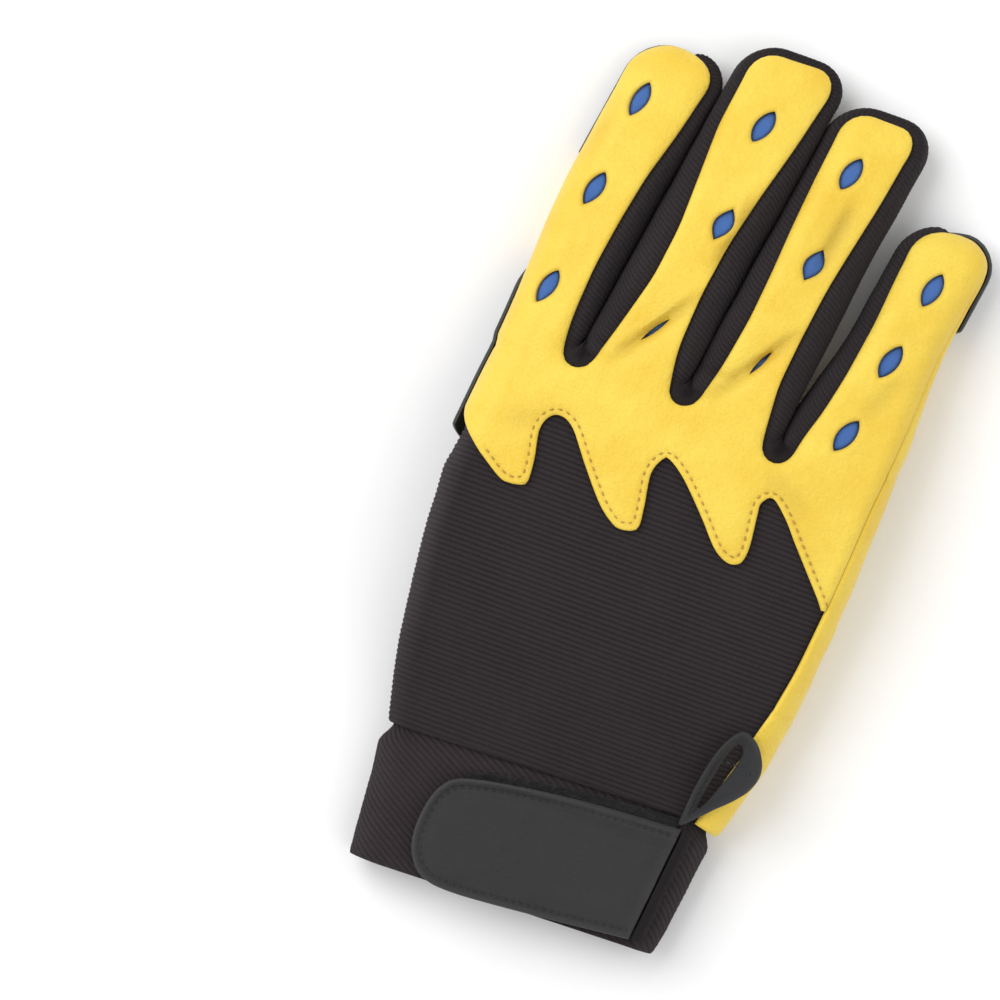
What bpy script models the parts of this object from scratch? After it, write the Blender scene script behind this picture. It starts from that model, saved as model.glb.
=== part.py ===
"""A mechanic glove for the right hand, lying back up with its thumb folded under the palm.

The glove is sewn from sheets. Each sheet is an outline laid out flat, filled with triangles and
wrapped on the glove: flat over the hand and over each finger, and round their sides on half an
ellipse. Depth runs inwards from the leather's outer face, so sheets that lie on each other take
separate spans of depth. Lengths are in millimetres until a mesh is made. Along x the little finger
side is positive, v runs from the cuff's seam to the fingertips, and z is up.
"""

import math
from collections import namedtuple

import bpy
import numpy as np
from mathutils.geometry import delaunay_2d_cdt

# Driving dimensions in millimetres
HAND_WIDTH = 116.0
PALM_LENGTH = 106.5
CUFF_LENGTH = 38.0
INDEX_LENGTH = 92.5
MIDDLE_LENGTH = 101.5
RING_LENGTH = 94.5
LITTLE_LENGTH = 70.5
HAND_THICKNESS = 20.0
FINGER_THICKNESS = 17.0
WRIST_THICKNESS = 16.0
THUMB_THICKNESS = 9.0
TIP_TAPER = 4.0
FINGER_GAP = 0.8
FINGER_LEAN_DEGREES = 9.0
CROTCH_RAKE = 11.0
DRAPE = 45.0
LEATHER = 1.2
CLOTH = 1.0
PAD = 1.0
STRAP = 1.8
BINDING_WIDTH = 2.4
SEAM_GAP = 0.6
LAP = 2.0
LINER_WIDTH = 7.6
LOOP_RISE = 2.6

# Mesh steps in millimetres
ALONG = 7.4
ACROSS = 3.5
FLAT_PITCH = 10.0
OUTLINE_PITCH = 7.5

# Sizes that follow
RIM = FINGER_THICKNESS / 2
THUMB_RIM = THUMB_THICKNESS / 2
VALLEY = RIM + FINGER_GAP / 2
PAD_STACK = PAD + SEAM_GAP
CLOTH_DEPTH = LEATHER + SEAM_GAP
CUFF_TUCK = CLOTH_DEPTH + CLOTH + SEAM_GAP
PALM_LIFT = THUMB_THICKNESS + 2 * PAD_STACK + SEAM_GAP
LEATHER_SPAN = (0.0, LEATHER)
CLOTH_SPAN = (CLOTH_DEPTH, CLOTH_DEPTH + CLOTH)
PAD_SPAN = (-PAD_STACK, -SEAM_GAP)
STRAP_SPAN = (-PAD_STACK - SEAM_GAP - STRAP, -PAD_STACK - SEAM_GAP)
BINDING_SPAN = (-PAD_STACK - SEAM_GAP - STRAP, -SEAM_GAP)
BACK, FRONT = 1, -1

# How far round its side each sheet reaches, as an angle from the flat, on the back and on the palm
SIDE_EDGE = (0.45, 0.62)
OUTER_EDGE = (1.70, math.pi - 1.70 - SEAM_GAP / RIM)
TIP_EDGE = (1.60, math.pi - 1.60 - SEAM_GAP / RIM)

# Fingers: sides at base and tip as shares of the hand's width
Finger = namedtuple("Finger", "name length left_base left_tip right_base right_tip")
FINGERS = (
    Finger("index", INDEX_LENGTH, -0.494, -0.528, -0.302, -0.302),
    Finger("middle", MIDDLE_LENGTH, -0.302, -0.302, -0.041, -0.041),
    Finger("ring", RING_LENGTH, -0.041, -0.041, 0.210, 0.203),
    Finger("little", LITTLE_LENGTH, 0.210, 0.241, 0.497, 0.459),
)
# Crotches between the fingers, as shares of the palm's length
CROTCHES = (1.0, 1.0, 0.944)

# Sides of the hand: v as a share of the palm's length, sides as shares of the hand's width
HAND_SIDES = (
    (0.00, -0.433, 0.397),
    (0.12, -0.461, 0.425),
    (0.23, -0.479, 0.455),
    (0.36, -0.495, 0.475),
    (0.51, -0.509, 0.486),
    (0.66, -0.514, 0.494),
    (0.79, -0.502, 0.497),
    (0.96, -0.489, 0.499),
)
# Sides of the cuff: v as a share of the cuff's length, from its seam to its open end
CUFF_SIDES = ((0.0, -0.433, 0.397), (-0.4, -0.414, 0.380), (-0.8, -0.405, 0.365), (-1.0, -0.398, 0.352))

# Seam of the palm leather on the little finger side: v as a share of the palm's length, and angle
SIDE_SEAM = ((0.0, 0.12), (0.28, 0.06), (0.47, 0.36), (0.63, 0.44), (0.96, 0.63), (1.24, 0.95), (1.5, 1.2))

# Lower edge of the back leather: x as shares of the hand's width, v as shares of the palm's length
EDGE_START = ((-0.431, 0.723), (-0.371, 0.681), (-0.345, 0.672))
EDGE_TONGUES = ((-0.302, 0.690), (-0.028, 0.679), (0.226, 0.690))
EDGE_WAVE = (
    (0.000, 0.000),
    (-0.005, 0.061),
    (-0.016, 0.133),
    (-0.005, 0.172),
    (0.020, 0.185),
    (0.057, 0.160),
    (0.108, 0.094),
    (0.160, 0.020),
    (0.213, -0.020),
    (0.237, -0.028),
)
# The last tongue's wave ends at the little finger side's seam
EDGE_WAVE_END = EDGE_WAVE[:-2]

# Eye slots: along as a share of the finger's length, x as a share of the hand's width, size, tilt
Slot = namedtuple("Slot", "finger along x long wide tilt")
SLOTS = (
    Slot("index", 0.811, -0.464, 0.090, 0.043, 2),
    Slot("index", 0.517, -0.455, 0.088, 0.043, 6),
    Slot("index", 0.200, -0.442, 0.088, 0.043, 9),
    Slot("middle", 0.781, -0.176, 0.086, 0.043, 8),
    Slot("middle", 0.497, -0.148, 0.080, 0.043, 4),
    Slot("middle", 0.171, -0.170, 0.076, 0.014, 28),
    Slot("ring", 0.797, 0.059, 0.086, 0.043, 6),
    Slot("ring", 0.512, 0.084, 0.080, 0.043, 4),
    Slot("ring", 0.196, 0.084, 0.070, 0.014, 18),
    Slot("little", 0.755, 0.359, 0.088, 0.043, 4),
    Slot("little", 0.439, 0.351, 0.088, 0.043, 8),
    Slot("little", 0.114, 0.340, 0.088, 0.043, 14),
)
# Lens shape of a slot: shares of its half length and half width
SLOT_LENS = (
    (1.0, 0.0),
    (0.55, 0.72),
    (0.0, 1.0),
    (-0.55, 0.72),
    (-1.0, 0.0),
    (-0.55, -0.72),
    (0.0, -1.0),
    (0.55, -0.72),
)

# Folded thumb from the side of the hand round its tip to the wrist: shares of width and palm length
THUMB_OUTLINE = (
    (-0.491, 0.700),
    (-0.431, 0.723),
    (-0.371, 0.751),
    (-0.315, 0.808),
    (-0.250, 0.892),
    (-0.172, 1.000),
    (-0.082, 1.085),
    (0.026, 1.117),
    (0.121, 1.085),
    (0.177, 1.000),
    (0.168, 0.906),
    (0.121, 0.808),
    (0.069, 0.714),
    (0.022, 0.610),
    (-0.026, 0.488),
    (-0.069, 0.366),
    (-0.103, 0.244),
    (-0.129, 0.141),
    (-0.142, 0.040),
)
# Seam where the thumb's inner side leaves the palm
CREASE = (
    (-0.440, 0.720),
    (-0.397, 0.629),
    (-0.319, 0.460),
    (-0.233, 0.300),
    (-0.172, 0.197),
    (-0.130, 0.122),
    (-0.118, 0.020),
)

# Pads and flat pieces, as shares of the hand's width and the palm's length
INDEX_PAD_INNER = ((-0.475, 1.275), (-0.440, 1.150), (-0.405, 0.958), (-0.384, 0.845), (-0.375, 0.756))
INDEX_PAD_FOOT = ((-0.412, 0.728), (-0.457, 0.723))
FINGER_BASE_PAD = (
    (-0.350, 0.900),
    (-0.335, 0.930),
    (-0.300, 0.935),
    (-0.220, 0.945),
    (-0.130, 0.950),
    (-0.040, 0.915),
    (0.050, 0.920),
    (0.120, 0.905),
    (0.205, 0.865),
    (0.290, 0.900),
    (0.372, 0.940),
    (0.405, 0.925),
    (0.392, 0.890),
    (0.322, 0.800),
    (0.255, 0.735),
    (0.205, 0.695),
    (0.135, 0.676),
    (0.050, 0.690),
    (-0.055, 0.742),
    (-0.158, 0.800),
    (-0.252, 0.845),
    (-0.325, 0.870),
)
HEEL_PAD = (
    (0.293, 0.600),
    (0.207, 0.634),
    (0.069, 0.648),
    (-0.052, 0.601),
    (-0.121, 0.488),
    (-0.147, 0.376),
    (-0.121, 0.291),
    (-0.060, 0.254),
    (0.000, 0.277),
    (0.060, 0.357),
    (0.112, 0.437),
    (0.190, 0.488),
    (0.285, 0.521),
    (0.319, 0.563),
)
DOT_PAD = (-0.320, 0.793, 0.054)
SADDLE_PAD_EDGE = (
    (-0.155, 0.990),
    (-0.160, 0.883),
    (-0.207, 0.778),
    (-0.293, 0.718),
    (-0.388, 0.700),
    (-0.450, 0.682),
)
NAIL_EDGE = ((-0.190, 0.885), (-0.130, 0.848), (-0.060, 0.790), (0.010, 0.735))
CAP_EDGE = ((-0.150, 0.920), (-0.090, 0.905), (0.000, 0.860), (0.080, 0.800))

# Strap and patch: x as shares of the hand's width, v as shares of the cuff's length
STRAP_OUTLINE = (
    (-0.207, -0.197),
    (-0.086, -0.118),
    (0.086, -0.053),
    (0.312, -0.010),
    (0.284, -0.868),
    (0.000, -0.955),
    (-0.150, -0.985),
    (-0.218, -0.950),
    (-0.257, -0.830),
    (-0.272, -0.660),
    (-0.266, -0.440),
    (-0.246, -0.290),
)
PATCH_TOP = ((-0.195, -0.135), (-0.086, -0.058), (0.086, 0.010), (0.305, 0.058))
PATCH_FOOT = ((0.270, -0.780), (-0.120, -0.800), (-0.190, -0.560))
LOOP_OUTLINE = (
    (0.312, 0.040),
    (0.306, 0.094),
    (0.315, 0.169),
    (0.332, 0.235),
    (0.360, 0.282),
    (0.388, 0.282),
    (0.410, 0.254),
    (0.422, 0.207),
    (0.414, 0.164),
    (0.392, 0.122),
    (0.362, 0.075),
    (0.341, 0.042),
)
LOOP_SLIT = (
    (0.366, 0.246),
    (0.376, 0.228),
    (0.361, 0.150),
    (0.345, 0.085),
    (0.331, 0.066),
    (0.333, 0.090),
    (0.346, 0.160),
)

# Fingertip caps: reach from the tip on the left and right, as shares of the finger's length
CAPS = {"index": (0.39, 0.39), "middle": (0.33, 0.33), "ring": (0.334, 0.372), "little": (0.42, 0.352)}

# Folds of the back: x share, v share, direction, length and width as shares of the width, depth
Fold = namedtuple("Fold", "x v degrees long wide deep")
FOLDS = (
    Fold(-0.190, 1.15, 52, 0.190, 0.042, 1.4),
    Fold(0.070, 1.15, 52, 0.180, 0.042, 1.4),
    Fold(-0.075, 1.45, 92, 0.200, 0.045, 0.8),
    Fold(0.165, 1.52, 100, 0.190, 0.045, 0.8),
    Fold(-0.430, 0.95, 60, 0.140, 0.040, 0.9),
    Fold(0.330, 0.62, 118, 0.300, 0.050, 1.0),
    Fold(-0.250, 0.30, 150, 0.360, 0.055, 0.9),
    Fold(0.120, 0.22, 25, 0.300, 0.055, 0.8),
)

# Colours as linear red, green, blue, then roughness
FINISHES = {
    "yellow_leather": ((0.90, 0.66, 0.10), 0.55),
    "ribbed_cloth": ((0.030, 0.023, 0.024), 0.90),
    "blue_cloth": ((0.045, 0.16, 0.47), 0.85),
    "grey_pad": ((0.030, 0.032, 0.034), 0.62),
    "strap_rubber": ((0.042, 0.044, 0.046), 0.55),
    "fuzzy_patch": ((0.022, 0.022, 0.023), 0.95),
    "black_tape": ((0.015, 0.015, 0.016), 0.60),
}


def smooth(share):
    """Eases from 0 to 1."""
    t = np.clip(share, 0.0, 1.0)
    return t * t * (3 - 2 * t)


def lean(v):
    """How far the fingers lean towards the little finger side at v."""
    along = v - PALM_LENGTH
    turn = 0.11 * PALM_LENGTH
    return math.tan(math.radians(FINGER_LEAN_DEGREES)) * (along + np.sqrt(along**2 + turn**2)) / 2


def placed(rows, length=PALM_LENGTH):
    """Rows of shares as places in millimetres."""
    return [(x * HAND_WIDTH, v * length) for x, v in rows]


def rounded(points, closed=False, pitch=OUTLINE_PITCH):
    """A smooth curve through the points, sampled at the pitch."""
    points = np.array(points, float)
    count = len(points)
    curve = []
    for i in range(count if closed else count - 1):
        if closed:
            a, b, c, d = (points[(i + k) % count] for k in (-1, 0, 1, 2))
        else:
            a, b, c, d = (points[min(max(i + k, 0), count - 1)] for k in (-1, 0, 1, 2))
        steps = max(1, round(np.linalg.norm(c - b) / pitch))
        for step in range(steps):
            t = step / steps
            curve.append(
                0.5 * (2 * b + (c - a) * t + (2 * a - 5 * b + 4 * c - d) * t**2 + (3 * b - a - 3 * c + d) * t**3)
            )
    if not closed:
        curve.append(points[-1])
    return [tuple(point) for point in curve]


def side_of_hand(v, column):
    """The silhouette of hand and cuff at v: column 1 is the left side, 2 the right."""
    cuff = [(row[0] * CUFF_LENGTH, row[column]) for row in reversed(CUFF_SIDES[1:])]
    hand = [(row[0] * PALM_LENGTH, row[column]) for row in HAND_SIDES]
    rows = cuff + hand
    return np.interp(v, [row[0] for row in rows], [row[1] for row in rows]) * HAND_WIDTH


def side_of_finger(finger, v, left):
    """The silhouette of a finger's side at v, before the lean."""
    base = finger.left_base if left else finger.right_base
    tip = finger.left_tip if left else finger.right_tip
    share = smooth((v - PALM_LENGTH) / (0.6 * finger.length))
    side = (base + (tip - base) * share) * HAND_WIDTH
    outer = (finger is FINGERS[0] and left) or (finger is FINGERS[-1] and not left)
    if outer:
        return side
    return side + FINGER_GAP / 2 if left else side - FINGER_GAP / 2


def crotch_place(i):
    """Middle of the arc that the rim line makes round crotch i."""
    v = CROTCHES[i] * PALM_LENGTH + VALLEY - RIM * math.sin(SIDE_EDGE[0])
    return FINGERS[i].right_base * HAND_WIDTH, v


def steps_between(low, high):
    """Even stops from low to high, about one mesh step apart."""
    count = max(1, round(abs(high - low) / ALONG))
    return [low + (high - low) * k / count for k in range(count + 1)]


def finger_stops(i):
    """Rim line of one finger, from its left base over the tip to its right base."""
    finger = FINGERS[i]
    end = PALM_LENGTH + finger.length - RIM
    corner = 0.18 * RIM
    left_start = PALM_LENGTH if i == 0 else crotch_place(i - 1)[1]
    right_start = PALM_LENGTH if i == len(FINGERS) - 1 else crotch_place(i)[1]
    runs = ("outer" if i == 0 else "side", "outer" if i == len(FINGERS) - 1 else "side")
    stops = []
    for v in steps_between(left_start, end - corner)[1:]:
        stops.append((side_of_finger(finger, v, True) + RIM, v, runs[0], i))
    left = side_of_finger(finger, end, True) + RIM
    right = side_of_finger(finger, end, False) - RIM
    for degrees in (45, 90):
        a = math.radians(degrees)
        stops.append((left + corner * (1 - math.cos(a)), end - corner * (1 - math.sin(a)), "tip", i))
    stops.append(((left + right) / 2, end, "tip", i))
    for degrees in (90, 45):
        a = math.radians(degrees)
        stops.append((right - corner * (1 - math.cos(a)), end - corner * (1 - math.sin(a)), "tip", i))
    for v in steps_between(end - corner, right_start)[:-1]:
        stops.append((side_of_finger(finger, v, False) - RIM, v, runs[1], i))
    return stops


def crotch_stops(i):
    """Rim line round one crotch."""
    x, v = crotch_place(i)
    stops = []
    for degrees in range(0, 181, 30):
        a = math.radians(degrees)
        stops.append((x - VALLEY * math.cos(a), v - VALLEY * math.sin(a), "crotch", i))
    return stops


def hand_stops():
    """Rim line of the whole glove: the line along which its flat middle turns into its sides."""
    stops = []
    for v in steps_between(-CUFF_LENGTH - ALONG, PALM_LENGTH):
        stops.append((side_of_hand(v, 1) + RIM, v, "left", 0))
    for i in range(len(FINGERS)):
        stops += finger_stops(i)
        if i < len(FINGERS) - 1:
            stops += crotch_stops(i)
    for v in steps_between(PALM_LENGTH, -CUFF_LENGTH - ALONG):
        stops.append((side_of_hand(v, 2) - RIM, v, "right", len(FINGERS)))
    return stops


def directions(points):
    """Outward direction at each point of a rim line that runs clockwise."""
    legs = np.diff(points, axis=0)
    legs /= np.linalg.norm(legs, axis=1)[:, None]
    before = np.vstack([legs[:1], legs])
    after = np.vstack([legs, legs[-1:]])
    along = before + after
    along /= np.linalg.norm(along, axis=1)[:, None]
    return np.stack([-along[:, 1], along[:, 0]], axis=1)


def thumb_line():
    """Rim line of the folded thumb, inside its outline by the radius of its side."""
    outline = np.array(rounded(placed(THUMB_OUTLINE), pitch=0.7 * ALONG))
    return outline - THUMB_RIM * directions(outline)


HAND_STOPS = hand_stops()
HAND_LINE = np.array([stop[:2] for stop in HAND_STOPS])
HAND_OUT = directions(HAND_LINE)
THUMB_LINE = thumb_line()
THUMB_OUT = directions(THUMB_LINE)


def nearest(line, out, points):
    """For each point the nearest spot of a rim line, its outward direction and the signed reach."""
    points = np.asarray(points, float)
    start, leg = line[:-1], np.diff(line, axis=0)
    t = np.einsum("psk,sk->ps", points[:, None] - start[None], leg) / (leg**2).sum(axis=1)
    t = np.clip(t, 0, 1)
    spots = start[None] + t[..., None] * leg[None]
    far = np.linalg.norm(points[:, None] - spots, axis=2)
    best = far.argmin(axis=1)
    rows = np.arange(len(points))
    share = t[rows, best][:, None]
    spot = spots[rows, best]
    way = out[best] * (1 - share) + out[best + 1] * share
    way /= np.linalg.norm(way, axis=1)[:, None]
    sign = np.where(((points - spot) * way).sum(axis=1) > 0, 1.0, -1.0)
    return spot, way, sign * far[rows, best]


def wrist_fade(v):
    """How much of the thumb's thickness is left at v, none of it at the cuff's seam."""
    return smooth((v - 0.02 * PALM_LENGTH) / (0.33 * PALM_LENGTH))


def fold_depth(x, v):
    """How deep the folds of the back dent it."""
    total = np.zeros(len(x))
    for fold in FOLDS:
        a = math.radians(fold.degrees)
        dx = x - fold.x * HAND_WIDTH
        dv = v - fold.v * PALM_LENGTH
        along = (dx * math.cos(a) + dv * math.sin(a)) / (fold.long * HAND_WIDTH / 2)
        across = (dv * math.cos(a) - dx * math.sin(a)) / (fold.wide * HAND_WIDTH)
        total += fold.deep * np.exp(-(along**4)) * np.exp(-(across**2))
    return total


def tip_place(x):
    """Where the finger over x ends."""
    ends = np.array([PALM_LENGTH + finger.length for finger in FINGERS])
    valleys = np.array([finger.right_base * HAND_WIDTH for finger in FINGERS[:-1]])
    return ends[np.searchsorted(valleys, x)]


def heights(points):
    """Height of the leather's outer face on the back and on the palm over each point."""
    u, v = points[:, 0], points[:, 1]
    reach = nearest(THUMB_LINE, THUMB_OUT, np.stack([u + lean(v), v], axis=1))[2]
    away = np.maximum(reach - THUMB_RIM, 0)
    floor = PAD_STACK * smooth(v / (0.2 * CUFF_LENGTH) + 1)
    low = floor + PALM_LIFT * wrist_fade(v) * smooth(1 - away / DRAPE)
    loft = PALM_LIFT * smooth((v + 0.14 * PALM_LENGTH) / (0.65 * PALM_LENGTH)) * smooth(1 - away / (2 * DRAPE))
    thick = WRIST_THICKNESS + (HAND_THICKNESS - WRIST_THICKNESS) * smooth(v / (0.35 * PALM_LENGTH))
    thick += (FINGER_THICKNESS - HAND_THICKNESS) * smooth((v / PALM_LENGTH - 0.75) / 0.4)
    thick -= TIP_TAPER * smooth(1 - (tip_place(u) - v) / (1.8 * FINGER_THICKNESS))
    top = floor + thick + loft - fold_depth(u + lean(v), v)
    return top, low


def bent(u, v, z, base, top, low):
    """Leans the fingers over and rakes the crotches forward towards the palm."""
    share = (top - z) / (top - low)
    rake = np.zeros(len(u))
    for i in range(len(CROTCHES)):
        x0, v0 = crotch_place(i)
        near = np.exp(-(((base[:, 0] - x0) / (1.3 * VALLEY)) ** 2) - ((base[:, 1] - v0) / (2.6 * VALLEY)) ** 2)
        rake = np.maximum(rake, near)
    v = v + CROTCH_RAKE * rake * np.clip(share, 0, 1)
    return np.stack([u + lean(v), v, z], axis=1)


def on_hand(points, depth, side):
    """Wraps laid out points on the hand. Past the rim line they go round its side."""
    points = np.asarray(points, float)
    spot, way, reach = nearest(HAND_LINE, HAND_OUT, points)
    base = np.where((reach <= 0)[:, None], points, spot)
    top, low = heights(base)
    angle = np.maximum(reach, 0) / RIM
    past = np.maximum(angle - math.pi, 0) * RIM
    angle = np.minimum(angle, math.pi)
    middle, half = (top + low) / 2, (top - low) / 2
    plan = base + ((RIM - depth) * np.sin(angle) - past)[:, None] * way
    z = middle + side * (half - depth) * np.cos(angle)
    return bent(plan[:, 0], plan[:, 1], z, base, top, low)


def on_back(points, depth):
    return on_hand(points, depth, BACK)


def on_palm(points, depth):
    return on_hand(points, depth, FRONT)


def round_side(base, way, angle, depth):
    """Places at an angle round the side that leaves each base place the given way."""
    top, low = heights(base)
    plan = base + ((RIM - depth) * np.sin(angle))[:, None] * way
    z = (top + low) / 2 + ((top - low) / 2 - depth) * np.cos(angle)
    return bent(plan[:, 0], plan[:, 1], z, base, top, low)


def seam_place(x):
    """The cuff's seam on the back rises towards the little finger side."""
    return 0.03 * (x + HAND_WIDTH / 2)


def cuff_tuck(past_seam):
    """How deep the cuff lies under the hand's outer face, full at its seam and none further down."""
    return CUFF_TUCK * smooth(1 + past_seam / (0.32 * CUFF_LENGTH))


def on_cuff(points, depth, side=BACK):
    """Wraps points on the cuff, whose upper edge is tucked under the hand's sheets."""
    points = np.asarray(points, float)
    return on_hand(points, depth + cuff_tuck(points[:, 1] - seam_place(points[:, 0])), side)


def on_thumb(points, depth, side):
    """Wraps laid out points on the folded thumb."""
    points = np.asarray(points, float)
    spot, way, reach = nearest(THUMB_LINE, THUMB_OUT, points)
    base = np.where((reach <= 0)[:, None], points, spot)
    top = PAD_STACK + THUMB_THICKNESS * wrist_fade(base[:, 1])
    if side == BACK:
        crease = np.array(rounded(placed(CREASE)))
        off = np.abs(nearest(crease, directions(crease), base)[2])
        palm = heights(base)[1]
        top = top + np.maximum(palm - SEAM_GAP - top, 0) * smooth(1 - off / THUMB_THICKNESS)
    low = np.full(len(base), PAD_STACK)
    angle = np.maximum(reach, 0) / THUMB_RIM
    past = np.maximum(angle - math.pi, 0) * THUMB_RIM
    angle = np.minimum(angle, math.pi)
    middle, half = (top + low) / 2, (top - low) / 2
    plan = base + ((THUMB_RIM - depth) * np.sin(angle) - past)[:, None] * way
    z = middle + side * (half - depth) * np.cos(angle)
    return np.column_stack([plan, z])


def on_thumb_pulp(points, depth):
    return on_thumb(points, depth, BACK)


def on_thumb_nail(points, depth):
    return on_thumb(points, depth, FRONT)


def left_line(v):
    """Where the flat back turns into the thumb side at v."""
    return side_of_hand(v, 1) + RIM


def on_thumb_side(points, depth):
    """Wraps the back cloth: over the back, round the thumb side and on along the floor."""
    points = np.asarray(points, float)
    turn = left_line(points[:, 1])
    reach = turn - points[:, 0]
    base = np.column_stack([turn, points[:, 1]])
    top = heights(base)[0]
    angle = np.clip(reach / RIM, 0, math.pi)
    middle, half = (top + PAD_STACK) / 2, (top - PAD_STACK) / 2
    x = turn - (RIM - depth) * np.sin(angle)
    wall = np.column_stack([x + lean(points[:, 1]), points[:, 1], middle + (half - depth) * np.cos(angle)])
    under = on_thumb_nail(np.column_stack([turn + reach - math.pi * RIM, points[:, 1]]), depth)
    flat = on_back(points, depth)
    past_wall = (reach >= math.pi * RIM)[:, None]
    return np.where((reach <= 0)[:, None], flat, np.where(past_wall, under, wall))


def edge_angles(side):
    """How far round the side the leather reaches at each stop: side 0 is the back, 1 the palm."""
    angles = []
    for _, v, run, finger in HAND_STOPS:
        if run == "right" or (run == "outer" and finger == len(FINGERS) - 1):
            seam = np.interp(v / PALM_LENGTH, [row[0] for row in SIDE_SEAM], [row[1] for row in SIDE_SEAM])
            angles.append(seam if side == 0 else math.pi - seam - SEAM_GAP / RIM)
        elif run in ("left", "outer"):
            angles.append(OUTER_EDGE[side])
        elif run == "tip":
            angles.append(TIP_EDGE[side])
        else:
            angles.append(SIDE_EDGE[side])
    eased = np.array(angles)
    for _ in range(2):
        eased[1:-1] = (eased[:-2] + 2 * eased[1:-1] + eased[2:]) / 4
    return eased


BACK_EDGE = edge_angles(0)
PALM_EDGE = edge_angles(1)


def beyond(k, angle):
    """The laid out place at an angle round the side from stop k."""
    return tuple(HAND_LINE[k] + RIM * angle * HAND_OUT[k])


def stops_where(test):
    """Numbers of the stops whose run, finger and v pass the test."""
    return [k for k, (_, v, run, finger) in enumerate(HAND_STOPS) if test(run, finger, v)]


def inside(point, outline):
    """Whether a point lies inside a closed outline."""
    x, y = point
    hit = False
    for (ax, ay), (bx, by) in zip(outline, outline[1:] + outline[:1]):
        if (ay > y) != (by > y) and x < (bx - ax) * (y - ay) / (by - ay) + ax:
            hit = not hit
    return hit


def edge_distance(points, outline):
    """Distance of each point to the nearest side of a closed outline."""
    loop = np.array(outline + outline[:1])
    start, leg = loop[:-1], np.diff(loop, axis=0)
    t = np.einsum("psk,sk->ps", points[:, None] - start[None], leg) / (leg**2).sum(axis=1)
    spots = start[None] + np.clip(t, 0, 1)[..., None] * leg[None]
    return np.linalg.norm(points[:, None] - spots, axis=2).min(axis=1)


def divided(outline, pitch, closed=True):
    """The outline with its long sides divided. An open one stops before its last point."""
    result = []
    ends = outline[1:] + outline[:1] if closed else outline[1:]
    for a, b in zip(outline, ends):
        count = max(1, round(math.dist(a, b) / pitch))
        for k in range(count):
            result.append((a[0] + (b[0] - a[0]) * k / count, a[1] + (b[1] - a[1]) * k / count))
    return result


def filled(outline, holes, inner, clear):
    """Triangles that fill an outline round its holes, through the inner points that lie clear of both."""
    loops = [outline] + holes
    inner = np.array(inner).reshape(-1, 2)
    if len(inner):
        keep = np.ones(len(inner), bool)
        for loop in loops:
            keep &= edge_distance(inner, loop) > clear
        keep &= np.array([inside(p, outline) and not any(inside(p, hole) for hole in holes) for p in inner])
        inner = inner[keep]
    places, edges = [], []
    for loop in loops:
        first = len(places)
        places += loop
        edges += [(first + k, first + (k + 1) % len(loop)) for k in range(len(loop))]
    places += [tuple(p) for p in inner]
    vertices, _, faces, _, _, _ = delaunay_2d_cdt([tuple(map(float, p)) for p in places], edges, [], 0, 1e-4)
    kept = []
    for face in faces:
        corners = [vertices[k] for k in face]
        centre = (sum(c.x for c in corners) / 3, sum(c.y for c in corners) / 3)
        if inside(centre, outline) and not any(inside(centre, hole) for hole in holes):
            kept.append(tuple(face))
    return [tuple(vertex) for vertex in vertices], kept


def finish(name, colour, roughness):
    """A plain material."""
    material = bpy.data.materials.new(name)
    material.use_nodes = True
    shader = material.node_tree.nodes["Principled BSDF"]
    shader.inputs["Base Color"].default_value = (*colour, 1.0)
    shader.inputs["Roughness"].default_value = roughness
    shader.inputs["Metallic"].default_value = 0.0
    material.diffuse_color = (*colour, 1.0)
    return material


def add_object(name, points, faces, look):
    """Makes a named object from points in millimetres, with its faces turned outwards."""
    points = np.array(points, float) / 1000
    volume = 0.0
    for face in faces:
        for k in range(1, len(face) - 1):
            volume += np.dot(points[face[0]], np.cross(points[face[k]], points[face[k + 1]]))
    if volume < 0:
        faces = [tuple(reversed(face)) for face in faces]
    mesh = bpy.data.meshes.new(name)
    mesh.from_pydata([tuple(p) for p in points], [], faces)
    mesh.shade_smooth()
    mesh.set_sharp_from_angle(angle=math.radians(45))
    mesh.materials.append(finish(f"{look}_{name}", *FINISHES[look]))
    piece = bpy.data.objects.new(name, mesh)
    bpy.context.scene.collection.objects.link(piece)
    return piece


def thickened(outer, inner, faces):
    """Closes two copies of a triangulated sheet with a wall along every free side."""
    count = len(outer)
    sides = {}
    for face in faces:
        for a, b in zip(face, face[1:] + face[:1]):
            sides[(a, b)] = sides.get((a, b), 0) + 1
    walls = [(a, a + count, b + count, b) for a, b in sides if (b, a) not in sides]
    back = [tuple(k + count for k in reversed(face)) for face in faces]
    return np.vstack([outer, inner]), list(faces) + back + walls


def add_sheet(name, outline, span, wrap, look, inner=(), holes=(), clear=0.5 * ACROSS):
    """A sewn sheet: its laid out outline filled, wrapped and given its thickness."""
    places, faces = filled(list(outline), [list(hole) for hole in holes], inner, clear)
    points, faces = thickened(wrap(places, span[0]), wrap(places, span[1]), faces)
    return add_object(name, points, faces, look)


def add_strip(name, rows, span, wrap, look):
    """A sheet whose laid out places stand in rows of equal length."""
    width = len(rows[0])
    places = [place for row in rows for place in row]
    faces = []
    for r in range(len(rows) - 1):
        for c in range(width - 1):
            k = r * width + c
            faces += [(k, k + 1, k + width + 1), (k, k + width + 1, k + width)]
    points, faces = thickened(wrap(places, span[0]), wrap(places, span[1]), faces)
    return add_object(name, points, faces, look)


def rim_lattice(line, out, rings):
    """Places in rings outside a rim line, one mesh step apart."""
    return [tuple(p + ring * ACROSS * n) for ring in range(rings + 1) for p, n in zip(line, out)]


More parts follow.
